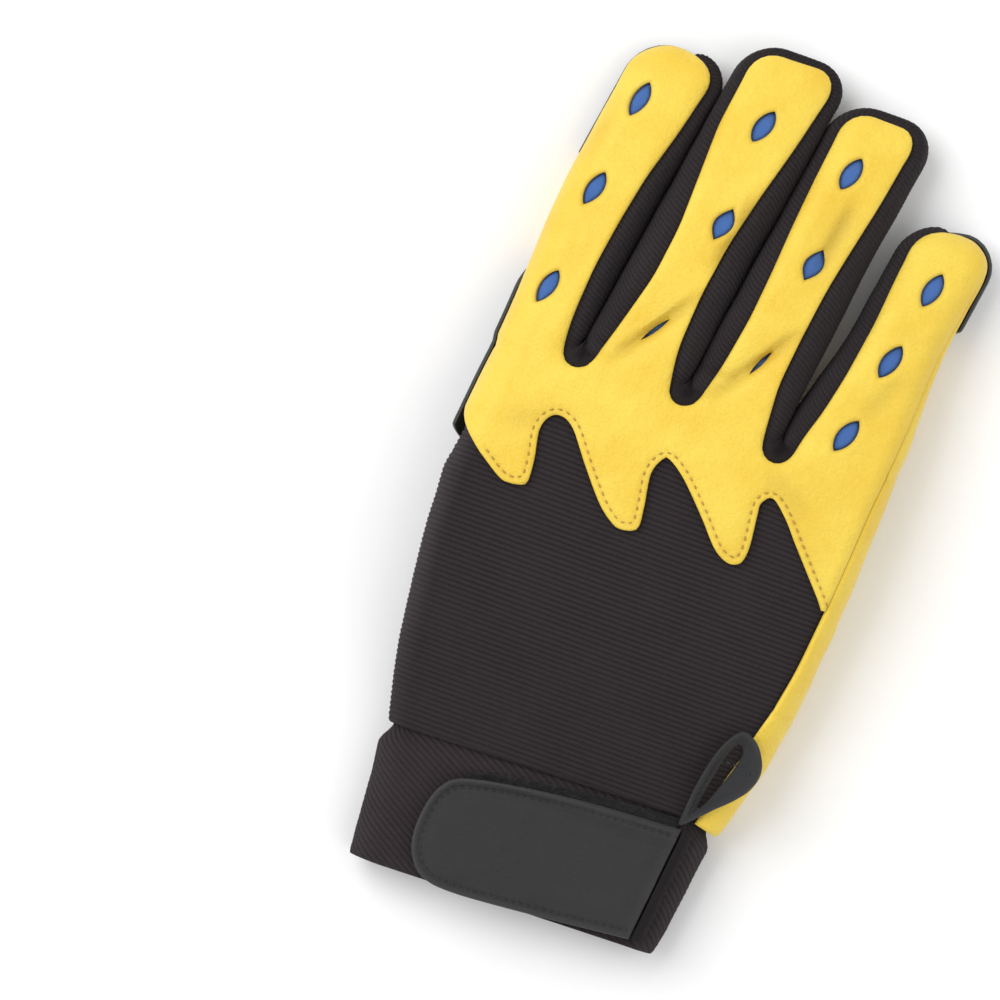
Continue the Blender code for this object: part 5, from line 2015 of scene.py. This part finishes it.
@dataclass
class FingerWalls(Part):
    """Ribbed walls between the fingers, each down one finger, round the crotch and up the next."""

    cloth: RibbedCloth = RibbedCloth((0.0125, 0.0095, 0.0105), (0.050, 0.040, 0.043))
    ribs: Ribs = Ribs(1.15, 0.34, 62.0)
    past_corner: int = 12
    swell: float = 2.35
    swell_width: float = 3.6

    def build_wall(self, i: int) -> None:
        """Builds the wall between finger i and the next.

        Args:
            i: Number of the finger on its left.
        """
        form, size = self.form, self.size
        stops = form.hand.stops
        tips = [k for k, stop in enumerate(stops) if stop.run is Run.TIP]
        first = max(k for k in tips if stops[k].finger == i) - self.past_corner
        last = min(k for k in tips if stops[k].finger == i + 1) + self.past_corner
        lap = size.lap
        ks = range(first, last + 1)
        reach = form.hand.reach
        low = [(reach[k], form.back_edge[k] * size.rim - lap) for k in ks]
        high = [(reach[k], (math.pi - form.palm_edge[k]) * size.rim + lap) for k in ks]
        outline = divided(np.array(low + high[::-1]))

        def wrap(points: Places, depth: Numbers) -> Places:
            """Wraps places given as lengths along and round the finger."""
            return form.on_wall(np.column_stack([points[:, 0], points[:, 1] / size.rim]), depth)

        soft = self.puffs(41 + 5 * i, 0.2)

        def relief(points: Places, edge: np.ndarray) -> np.ndarray:
            """The wall swells out between the leathers until it nearly meets its neighbour."""
            return soft(points, edge) - self.swell * smooth((edge - 0.8 * lap) / self.swell_width)

        name = f"fourchette_{size.fingers[i].name}_{size.fingers[i + 1].name}"
        self.sheet(name, "cloth", outline, wrap, self.cloth_span, self.cloth, ribs=self.ribs, relief=relief)

    def build(self) -> None:
        """Builds the three walls."""
        for i in range(len(self.size.fingers) - 1):
            self.build_wall(i)


@dataclass
class PalmPanel(Part):
    """Yellow leather of the palm and the fingers' inner sides, turned up round the little finger side."""

    foot: float = 0.02
    left_foot: float = 0.775
    crease_tuck: float = 6.6
    saddle_lift: float = 2.5

    def build(self) -> None:
        """Builds the leather."""
        form, length = self.form, self.size.palm_length

        def held(stop: Stop) -> bool:
            """Whether the leather reaches this stop."""
            return stop.v >= (self.left_foot if stop.run is Run.LEFT else self.foot) * length

        stops = form.hand.where(held)
        side = [form.hand.beyond(k, form.palm_edge[k]) for k in stops]
        side.append(form.hand.beyond(stops[-1], 0.0))
        crease = form.crease.points[::-1].copy()
        crease[:, 0] -= self.crease_tuck * smooth((0.32 * length - crease[:, 1]) / (0.15 * length))
        crease[:, 1] += self.saddle_lift * smooth((crease[:, 1] / length - 0.60) / 0.08)
        outline = divided(np.vstack([side, crease]), 1.3)
        self.sheet(
            "palm_leather", "skin", outline, form.on_palm, self.leather_span, self.leather, pitch=1.35,
            relief=self.puffs(61, 0.28),
        )  # fmt: skip


@dataclass
class PalmPads(Part):
    """Charcoal patches of the palm side: fingertip caps, index edge, finger bases, heel and dot."""

    cap_turn: Span = (0.08, 1.15)
    last_cap_turn: Span = (0.0, 1.55)
    index_foot: float = 0.745
    index_turn: Span = (0.75, 0.63)
    index_ease: float = 14.0
    caps: Rows = ((0.39, 0.39), (0.33, 0.33), (0.334, 0.372), (0.42, 0.352))
    index_inner: Rows = (
        (-0.475, 1.275), (-0.440, 1.150), (-0.405, 0.958), (-0.384, 0.845), (-0.375, 0.756), (-0.412, 0.728),
        (-0.457, 0.723),
    )  # fmt: skip
    finger_base: Rows = (
        (-0.350, 0.900), (-0.335, 0.930), (-0.300, 0.935), (-0.220, 0.945), (-0.130, 0.950), (-0.040, 0.915),
        (0.050, 0.920), (0.120, 0.905), (0.205, 0.865), (0.290, 0.900), (0.372, 0.940), (0.405, 0.925),
        (0.392, 0.890), (0.322, 0.800), (0.255, 0.735), (0.205, 0.695), (0.135, 0.676), (0.050, 0.690),
        (-0.055, 0.742), (-0.158, 0.800), (-0.252, 0.845), (-0.325, 0.870),
    )  # fmt: skip
    heel: Rows = (
        (0.293, 0.600), (0.207, 0.634), (0.069, 0.648), (-0.052, 0.601), (-0.121, 0.488), (-0.147, 0.376),
        (-0.121, 0.291), (-0.060, 0.254), (0.000, 0.277), (0.060, 0.357), (0.112, 0.437), (0.190, 0.488),
        (0.285, 0.521), (0.319, 0.563),
    )  # fmt: skip
    dot: tuple[float, float, float] = (-0.320, 0.793, 0.054)

    def add(self, node: str, outline: Places, rows: list[Places], seed: int, swell: float) -> bpy.types.Object:
        """Adds one patch and its stitches.

        Args:
            node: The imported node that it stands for.
            outline: Its laid out outline.
            rows: Its stitch lines.
            seed: Which unevenness it has.
            swell: How far it swells inside its stitches.

        Returns:
            The patch.
        """
        look = {"pitch": 1.1, "roll": 0.45, "roll_width": 0.9, "seam_depth": 0.20}
        return self.sewn_pad(node, outline, self.form.on_palm, rows, relief=self.padding(seed, swell), **look)

    def build_cap(self, i: int) -> None:
        """Builds the cap on the pulp side of finger i.

        Args:
            i: Number of the finger.
        """
        form, finger = self.form, self.size.fingers[i]
        left, right = (self.size.palm_length + finger.length * (1 - reach) for reach in self.caps[i])
        own = form.hand.where(lambda stop: stop.finger == i and stop.run in (Run.FINGER, Run.OUTER, Run.TIP))
        tips = [form.hand.points[k][0] for k in own if form.hand.stops[k].run is Run.TIP]
        centre = (min(tips) + max(tips)) / 2
        held = [k for k in own if form.hand.points[k][1] > (left if form.hand.points[k][0] < centre else right)]
        last = i == len(self.size.fingers) - 1
        ease, most = self.last_cap_turn if last else self.cap_turn
        side = np.array([form.hand.beyond(k, min(form.palm_edge[k] - ease, most)) for k in held])
        foot = divided(np.array([(side[0, 0], left), (side[-1, 0], right)]), closed=False)
        outline = divided(np.vstack([side, foot[::-1]]))
        rows = self.rows(foot[1:-1], self.rows_in)
        self.add(f"fingertip_cap_{finger.name}", outline, rows, 70 + i, 0.15)

    def build_index_edge(self) -> None:
        """Builds the patch along the index finger's edge."""
        form, length = self.form, self.size.palm_length
        inner = rounded(form.placed(self.index_inner))
        top = inner[0, 1]
        low = self.index_foot * length
        held = form.hand.where(
            lambda stop: stop.run in (Run.LEFT, Run.OUTER) and stop.finger == 0 and low <= stop.v <= top
        )
        least, more = self.index_turn
        turn = [least + more * float(smooth((top - form.hand.points[k][1]) / self.index_ease)) for k in held]
        side = np.array([form.hand.beyond(k, a) for k, a in zip(held, turn)])
        outline = divided(np.vstack([side, inner]))
        rows = self.rows(inner, [-distance for distance in self.rows_in])
        self.add("index_side_pad", outline, rows, 80, 0.1)

    def build(self) -> None:
        """Builds all patches."""
        for i in range(len(self.size.fingers)):
            self.build_cap(i)
        self.build_index_edge()
        for node, shape, seed in (("finger_base_pad", self.finger_base, 90), ("heel_pad", self.heel, 95)):
            outline = rounded(self.form.placed(shape), closed=True)
            patch = self.add(node, outline, self.rows(outline, self.rows_in, True), seed, 0.45)
        x, v, radius = self.dot
        turn = np.linspace(0, math.tau, 32, endpoint=False)
        round_path = radius * self.size.hand_width * np.column_stack([np.cos(turn), np.sin(turn)])
        outline = round_path + self.form.placed([(x, v)])
        patch = self.add("palm_dot_pad", outline, self.rows(outline, self.rows_in, True), 99, 0.2)


@dataclass
class Thumb(Part):
    """The folded thumb: inner leather, nail leather, tip cap and the patch towards the index finger."""

    saddle_edge: Rows = (
        (-0.155, 0.990), (-0.160, 0.883), (-0.207, 0.778), (-0.293, 0.718), (-0.388, 0.700), (-0.450, 0.682),
    )  # fmt: skip
    cap_edge: Rows = ((-0.150, 0.920), (-0.090, 0.905), (0.000, 0.860), (0.080, 0.800))
    saddle_foot: float = 0.69
    strip_foot: float = 0.10
    strip_start: float = 6.5
    strip_ease: float = 5.0
    flank_turn: float = 1.5
    cap_turn: float = 1.15
    nail_turn: float = 1.45
    nail_rows: Span = (1.4, 3.2)

    def split(self, low_saddle: float, low_strip: float) -> tuple[list[int], list[int]]:
        """Stops of the thumb's rim line above a height on its two sides.

        Args:
            low_saddle: The height on the side towards the index finger.
            low_strip: The height on the side towards the wrist.

        Returns:
            The numbers of the stops on each side.
        """
        line = self.form.thumb.points
        tip = int(line[:, 1].argmax())
        saddle = [k for k in range(tip) if line[k, 1] >= low_saddle]
        return saddle, [k for k in range(tip, len(line)) if line[k, 1] >= low_strip]

    def beyond(self, stops: Sequence[int], angles: Sequence[float]) -> Places:
        """Laid out places at angles round the thumb's side."""
        return np.array([self.form.thumb.beyond(k, a) for k, a in zip(stops, angles)])

    def build_leather(self) -> None:
        """Builds the inner leather, whose long edge rolls round and shows below as a strip."""
        form, size, line = self.form, self.size, self.form.thumb.points
        nail = self.size.nail_edge[-1][1] * size.palm_length - 2 * size.lap
        saddle, strip = self.split(self.saddle_foot * size.palm_length, self.strip_foot * size.palm_length)
        first = size.crease[0][0] * size.hand_width + 3 * size.lap
        saddle = [k for k in saddle if line[k, 0] > first]
        angles = [0.8 + 0.7 * float(smooth((line[k, 1] / size.palm_length - 0.84) / 0.08)) for k in saddle]
        full, least = math.pi + 1.5 / size.thumb_rim, self.flank_turn
        shares = [float(smooth((nail + self.strip_start - line[k, 1]) / self.strip_ease)) for k in strip]
        angles += [least + (full - least) * share for share in shares]
        crease = form.crease.points
        crease = crease[(crease[:, 1] > line[strip[-1], 1]) & (crease[:, 0] > crease[0, 0] + 4)]
        side = np.vstack([self.beyond(saddle + strip, angles), [form.thumb.beyond(strip[-1], 0.0)]])
        self.sheet(
            "thumb_leather", "skin", divided(np.vstack([side, crease[::-1]])), form.on_pulp, self.leather_span,
            self.leather, pitch=1.2, relief=self.puffs(101, 0.12),
        )  # fmt: skip

    def build_nail_leather(self) -> None:
        """Builds the leather over the nail and its two rows of stitches."""
        form, size, line = self.form, self.size, self.form.thumb.points
        nail = rounded(form.placed(self.size.nail_edge))
        saddle, strip = self.split(nail[0, 1] + size.lap, nail[-1, 1] + size.lap)
        angles = [0.9 + 0.55 * float(smooth((line[k, 1] / size.palm_length - 0.96) / 0.08)) for k in saddle]
        side = self.beyond(saddle + strip, angles + [self.nail_turn] * len(strip))
        rows = self.rows(nail, self.nail_rows)
        self.sheet(
            "thumb_nail_leather", "skin", divided(np.vstack([side, nail[::-1]])), form.on_nail,
            self.leather_span, self.leather, pitch=1.1, seams=rows, relief=self.puffs(111, 0.2),
        )  # fmt: skip
        StitchRow(
            "thumb_nail_stitches", rows, form.on_nail, 0.02, self.brown, "thumb_nail_leather", 2.3, 0.55, 0.2
        ).build(self.workshop)

    def build_pad(self, node: str, outline: Places, wrap: Wrap, rows: list[Places], seed: int) -> None:
        """Builds one charcoal patch of the thumb and its stitches.

        Args:
            node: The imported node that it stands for.
            outline: Its laid out outline.
            wrap: Which side of the thumb it lies on.
            rows: Its stitch lines.
            seed: Which unevenness it has.
        """
        look = {"pitch": 1.0, "roll": 0.4, "roll_width": 0.8, "seam_depth": 0.18}
        self.sewn_pad(node, divided(outline, 1.1), wrap, rows, relief=self.puffs(seed, 0.08), **look)

    def build(self) -> None:
        """Builds the thumb."""
        form, size, line = self.form, self.size, self.form.thumb.points
        self.build_leather()
        self.build_nail_leather()
        edge = rounded(form.placed(self.cap_edge))
        saddle, strip = self.split(edge[0, 1] + size.lap, edge[-1, 1] + size.lap)
        side = self.beyond(saddle + strip, [self.cap_turn] * (len(saddle) + len(strip)))
        self.build_pad("thumb_tip_cap", np.vstack([side, edge[::-1]]), form.on_pulp, self.rows(edge, self.rows_in), 121)
        edge = rounded(form.placed(self.saddle_edge))
        saddle = [k for k in self.split(0.0, 2 * size.palm_length)[0] if line[k, 1] < 0.90 * size.palm_length]
        side = self.beyond(saddle[3:], [0.8 * math.pi] * len(saddle[3:]))
        rows = self.rows(edge, [-distance for distance in self.rows_in])
        self.build_pad("thumb_saddle_pad", np.vstack([side, edge]), form.on_nail, rows, 131)


@dataclass
class Cuff(Part):
    """Ribbed tube at the wrist, its ribs on the slant. It is laid out flat from the little finger side."""

    cloth: RibbedCloth = RibbedCloth((0.0085, 0.0063, 0.0070), (0.070, 0.054, 0.057))
    ribs: Ribs = Ribs(1.5, 0.5, -32.0)
    flat: float = 76.0

    def wrap(self, points: Places, depth: Numbers) -> Places:
        """Wraps places of the laid out tube.

        Args:
            points: Lengths round the cuff and past its seam.
            depth: How deep they lie.

        Returns:
            Their places on the glove.
        """
        form, rim = self.form, self.size.rim
        turn = math.pi * rim
        stops = np.array([0, turn, turn + self.flat, 2 * turn + self.flat, 2 * turn + 2 * self.flat])
        left = form.side_of_hand(points[:, 1], True) + rim
        right = form.side_of_hand(points[:, 1], False) - rim
        share = np.interp(points[:, 0], stops, [1.0, 1.0, 0.0, 0.0, 1.0])
        angle = np.interp(points[:, 0], stops, [0.0, math.pi, math.pi, 0.0, 0.0])
        x = left + (right - left) * share
        way = np.column_stack([np.where(share >= 0.5, 1.0, -1.0), np.zeros(len(x))])
        base = np.column_stack([x, points[:, 1] + form.seam_place(x)])
        return form.round_side(base, way, angle, depth + form.tuck(points[:, 1]))

    def build(self) -> None:
        """Builds the tube."""
        around = 2 * math.pi * self.size.rim + 2 * self.flat
        low, high = -self.size.cuff_length, 2 * self.size.lap
        outline = divided(np.array([(0, low), (around, low), (around, high), (0, high)], float), 1.2)
        self.sheet(
            "cuff", "cloth", outline, self.wrap, (0.0, self.size.cloth), self.cloth, ribs=self.ribs, roll=0.35,
            relief=self.puffs(141, 0.25),
        )  # fmt: skip


@dataclass
class WristStrap(Part):
    """Closing strap with a raised border, the fuzzy patch under it and the seam at its fixed end."""

    strap: GreyPad = GreyPad((0.0145, 0.0143, 0.0146), (0.029, 0.029, 0.030), 1.3)
    pile: LoopPile = LoopPile()
    seam_cloth: RibbedCloth = RibbedCloth((0.0075, 0.0060, 0.0066), (0.026, 0.021, 0.022))
    thread: Thread = Thread((0.012, 0.012, 0.013))
    border: float = 1.5
    stitch_inset: float = 2.3
    binding_width: float = 2.4
    pile_seed: int = 7
    pile_tries: int = 9000
    pile_most: int = 2200
    pile_rings: int = 7
    fibre: float = 0.07
    outline: Rows = (
        (0.284, -0.868), (0.000, -0.955), (-0.150, -0.985), (-0.218, -0.950), (-0.257, -0.830), (-0.272, -0.660),
        (-0.266, -0.440), (-0.246, -0.290), (-0.207, -0.197), (-0.086, -0.118), (0.086, -0.053), (0.312, -0.010),
    )  # fmt: skip
    patch: Rows = (
        (-0.195, -0.135), (-0.086, -0.058), (0.086, 0.010), (0.305, 0.058), (0.270, -0.780), (-0.120, -0.800),
        (-0.190, -0.560),
    )  # fmt: skip

    def placed(self, rows: Sequence[Sequence[float]]) -> Places:
        """Rows of shares of the hand's width and the cuff's length as places."""
        return self.form.placed(rows, self.size.cuff_length)

    @property
    def top(self) -> float:
        """How high the strap's face stands over the cuff."""
        return self.size.pad_stack + self.size.seam_gap + self.size.strap

    def inner_line(self, path: Places, distance: float) -> Places:
        """A line at a distance from an open path, on the side of its hollow.

        Args:
            path: The path.
            distance: The distance.

        Returns:
            The line's points.
        """
        left = inset(path, distance, closed=False)
        return left if inside(left[5:6], path)[0] else inset(path, -distance, closed=False)

    def build_strap(self) -> None:
        """Builds the strap and its dark stitches."""
        size = self.size
        path = rounded(self.placed(self.outline))
        outline = divided(path)
        soft = self.puffs(151, 0.14)
        row, edge = (self.inner_line(path, distance) for distance in (self.stitch_inset, self.border))

        def relief(points: Places, edge: np.ndarray) -> np.ndarray:
            """Raised border with a groove inside it."""
            step = 0.34 * smooth((edge - self.border) / 0.35)
            return step - 0.16 * smooth((edge - 3.4) / 3.0) + soft(points, edge) - 0.1

        self.sheet(
            "wrist_strap", "skin", outline, self.form.on_cuff, (-self.top, -self.top + size.strap), self.strap,
            pitch=1.0, roll=0.5, roll_width=0.7, seams=[row, edge], seam_depth=0.10, relief=relief, wear=1.0,
        )  # fmt: skip
        depth = -self.top + 0.30
        StitchRow(
            "wrist_strap_stitches", [row], self.form.on_cuff, depth, self.thread, "wrist_strap", 2.1, 0.62, 0.22
        ).build(self.workshop)

    def build_patch(self) -> None:
        """Builds the patch and the curled loops of its strip that shows above the strap."""
        outline = divided(self.placed(self.patch))
        self.sheet(
            "loop_patch", "base", outline, self.form.on_cuff, self.pad_span, self.pile, pitch=1.2, roll=0.3,
            relief=self.puffs(161, 0.1),
        )  # fmt: skip
        rng = np.random.default_rng(self.pile_seed)
        low, high = outline.min(axis=0), outline.max(axis=0)
        spots = rng.uniform(low, high, (self.pile_tries, 2))
        strap = divided(rounded(self.placed(self.outline)), 1.2)
        keep = inside(spots, outline) & (~inside(spots, strap) | (distance_to(spots, strap, True) < 0.8))
        spots = spots[keep][: self.pile_most]
        count = len(spots)
        heading = rng.uniform(0, math.tau, count)
        tall = rng.uniform(0.35, 0.8, count)
        wide = rng.uniform(0.22, 0.45, count)
        turn = np.linspace(-0.15, math.pi + 0.15, self.pile_rings)
        ways = np.column_stack([np.cos(heading), np.sin(heading)])
        flat = spots[:, None] + (np.cos(turn)[None, :] * wide[:, None])[..., None] * ways[:, None]
        lift = np.sin(turn)[None, :] * tall[:, None]
        depth = -self.size.pad_stack + 0.1 - lift
        centre = self.form.on_cuff(flat.reshape(-1, 2), depth.ravel()).reshape(count, self.pile_rings, 3)
        across = np.column_stack([-ways[:, 1], ways[:, 0], np.zeros(count)])[:, None]
        up = np.zeros_like(centre)
        up[..., 2] = 1.0
        points = tubes(centre, across, up, self.fibre, 4)
        faces = tube_faces(count, self.pile_rings, 4, capped=False)
        self.workshop.piece("loop_patch_pile", points, faces, self.pile, ("loop_patch",), points, sharp=80.0)

    def build_binding(self) -> None:
        """Builds the seam band at the strap's fixed end."""
        low, high = self.placed([self.outline[0], self.outline[-1]])
        v = np.linspace(low[1], high[1], 34)
        x = np.interp(v, [low[1], high[1]], [low[0], high[0]]) + self.size.seam_gap
        left, right = np.column_stack([x, v]), np.column_stack([x + self.binding_width, v])

        def relief(points: Places, edge: np.ndarray) -> np.ndarray:
            """Crowned band pinched at each stitch."""
            return 0.5 - 0.5 * smooth(edge / 1.2) + 0.12 * np.cos(math.tau * points[:, 1] / 1.6)

        self.sheet(
            "strap_end_binding", "tape", divided(np.vstack([left, right[::-1]]), 0.8), self.form.on_cuff,
            (-self.top, -self.size.seam_gap), self.seam_cloth, pitch=0.5, roll=0.3, roll_width=0.5, relief=relief,
        )  # fmt: skip

    def build(self) -> None:
        """Builds strap, patch and seam band."""
        self.build_strap()
        self.build_patch()
        self.build_binding()


@dataclass
class PullLoop(Part):
    """Loop of black tape for pulling the glove on. Its outer edge stands up like a funnel's."""

    tape: WovenTape = WovenTape()
    thread: Thread = Thread((0.035, 0.036, 0.040))
    rise: float = 3.0
    outline: Rows = (
        (0.304, 0.006), (0.303, 0.050), (0.306, 0.100), (0.315, 0.169), (0.332, 0.235), (0.360, 0.282),
        (0.388, 0.282), (0.410, 0.254), (0.422, 0.207), (0.414, 0.164), (0.392, 0.122), (0.362, 0.075),
        (0.334, 0.036),
    )  # fmt: skip
    slit: Rows = (
        (0.368, 0.252), (0.384, 0.236), (0.377, 0.190), (0.358, 0.125), (0.343, 0.080), (0.330, 0.064),
        (0.330, 0.092), (0.340, 0.160), (0.352, 0.222),
    )  # fmt: skip

    def wrap(self, points: Places, depth: Numbers) -> Places:
        """Wraps laid out places, raised away from the slit.

        Args:
            points: The points.
            depth: How deep they lie.

        Returns:
            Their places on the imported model.
        """
        away = distance_to(points, self.form.placed(self.slit), True)
        foot = smooth((points[:, 1] / self.size.palm_length - 0.01) / 0.09)
        return self.form.on_back(points, depth - self.rise * foot * smooth(away / (2.4 * self.size.lap)))

    def build(self) -> None:
        """Builds the loop."""
        outline = rounded(self.form.placed(self.outline), 0.9, closed=True)
        slit = rounded(self.form.placed(self.slit), 0.8, closed=True)
        row = self.rows(outline, [2.0], True)

        def relief(points: Places, edge: np.ndarray) -> np.ndarray:
            """Rolled outer border with a groove inside it."""
            outer = distance_to(points, outline, True)
            return 0.5 * smooth((outer - 1.1) / 0.5) + 0.25 * np.exp(-(((outer - 2.0) / 0.5) ** 2))

        self.sheet(
            "pull_loop", "tape", outline, self.wrap, self.pad_span, self.tape, holes=[slit], pitch=0.7, roll=0.35,
            roll_width=0.6, relief=relief, wear=0.8,
        )  # fmt: skip
        leg = row[0][(row[0][:, 1] < 0.2 * self.size.palm_length)]
        StitchRow(
            "pull_loop_stitches", [leg[: len(leg) // 2]], self.wrap, -self.size.pad_stack + 0.2, self.thread,
            "pull_loop", 1.9, 0.6, 0.18,
        ).build(self.workshop)  # fmt: skip


@dataclass
class Studio:
    """Pale floor, soft light from the picture's upper left and a camera straight above."""

    turn_degrees: float = 20.0
    centre: tuple[float, float] = (-0.0430, -0.0190)
    picture: float = 0.270
    height: float = 1.5
    floor_reach: float = 1.6
    floor_height: float = -0.0004
    floor_rows: int = 25
    world_strength: float = 0.69
    lights: tuple[tuple[str, tuple[float, float, float], float, float], ...] = (
        ("key", (-0.75, 0.65, 1.25), 1.1, 15.0),
        ("fill", (0.9, -0.4, 1.3), 1.4, 4.5),
    )

    def build_floor(self) -> None:
        """Builds the pale floor."""
        shader = Shader("pale_floor")
        grain = shader.noise(Socket(shader.add("TexCoord"), "Object"), 60.0, 3.0)
        base = shader.mix(grain, (0.93, 0.93, 0.935, 1.0), (0.96, 0.96, 0.96, 1.0))
        material = shader.dress(Base_Color=base, Roughness=0.9, Specular_IOR_Level=0.1)
        count = self.floor_rows
        stops = np.linspace(-self.floor_reach, self.floor_reach, count)
        points = [(x, y, self.floor_height) for y in stops for x in stops]
        faces = []
        for r in range(count - 1):
            for c in range(count - 1):
                k = r * count + c
                faces.append((k, k + 1, k + count + 1, k + count))
        mesh = bpy.data.meshes.new("floor")
        mesh.from_pydata(points, [], faces)
        mesh.materials.append(material)
        floor = bpy.data.objects.new("floor", mesh)
        bpy.context.scene.collection.objects.link(floor)

    def add_light(self, name: str, place: tuple[float, float, float], size: float, power: float) -> None:
        """Adds a soft square light that faces the glove.

        Args:
            name: Its name.
            place: Where it stands, as the picture has it: right, up and towards the camera, in metres.
            size: Its side in metres.
            power: Its power in watts.
        """
        data = bpy.data.lights.new(name, "AREA")
        data.size = size
        data.energy = power
        light = bpy.data.objects.new(name, data)
        a = math.radians(self.turn_degrees)
        x = place[0] * math.cos(a) - place[1] * math.sin(a)
        y = place[0] * math.sin(a) + place[1] * math.cos(a)
        spot = Matrix.Translation((x, y, place[2]))
        light.matrix_world = spot @ spot.to_translation().to_track_quat("Z", "Y").to_matrix().to_4x4()
        bpy.context.scene.collection.objects.link(light)

    def build_camera(self) -> None:
        """Adds the camera at the photograph's angle."""
        data = bpy.data.cameras.new("camera")
        data.sensor_width = 36.0
        data.lens = data.sensor_width * self.height / self.picture
        data.clip_end = 20.0
        camera = bpy.data.objects.new("camera", data)
        camera.location = (self.centre[0], self.centre[1], self.height + 0.02)
        camera.rotation_euler = (0.0, 0.0, math.radians(self.turn_degrees))
        bpy.context.scene.collection.objects.link(camera)
        bpy.context.scene.camera = camera

    def build_world(self) -> None:
        """Lights the whole scene evenly."""
        world = bpy.data.worlds.new("studio")
        world.use_nodes = True
        back = world.node_tree.nodes["Background"]
        back.inputs["Color"].default_value = (1.0, 1.0, 1.0, 1.0)
        back.inputs["Strength"].default_value = self.world_strength
        bpy.context.scene.world = world
        bpy.context.scene.view_settings.view_transform = "Standard"

    def build(self) -> None:
        """Builds floor, lights, world and camera."""
        self.build_floor()
        self.build_camera()
        self.build_world()
        for light in self.lights:
            self.add_light(*light)


def main() -> None:
    """Builds the glove sub-assembly by sub-assembly, then the studio."""
    logging.basicConfig(level=logging.INFO)
    form, workshop = GloveForm(), Workshop()
    for kind in (BackPanel, BackCloth, FingerWalls, PalmPanel, PalmPads, Thumb, Cuff, WristStrap, PullLoop):
        kind(form, workshop).build()
        LOG.info("%s built", kind.__name__)
    Studio().build()


if __name__ == "__main__":
    main()
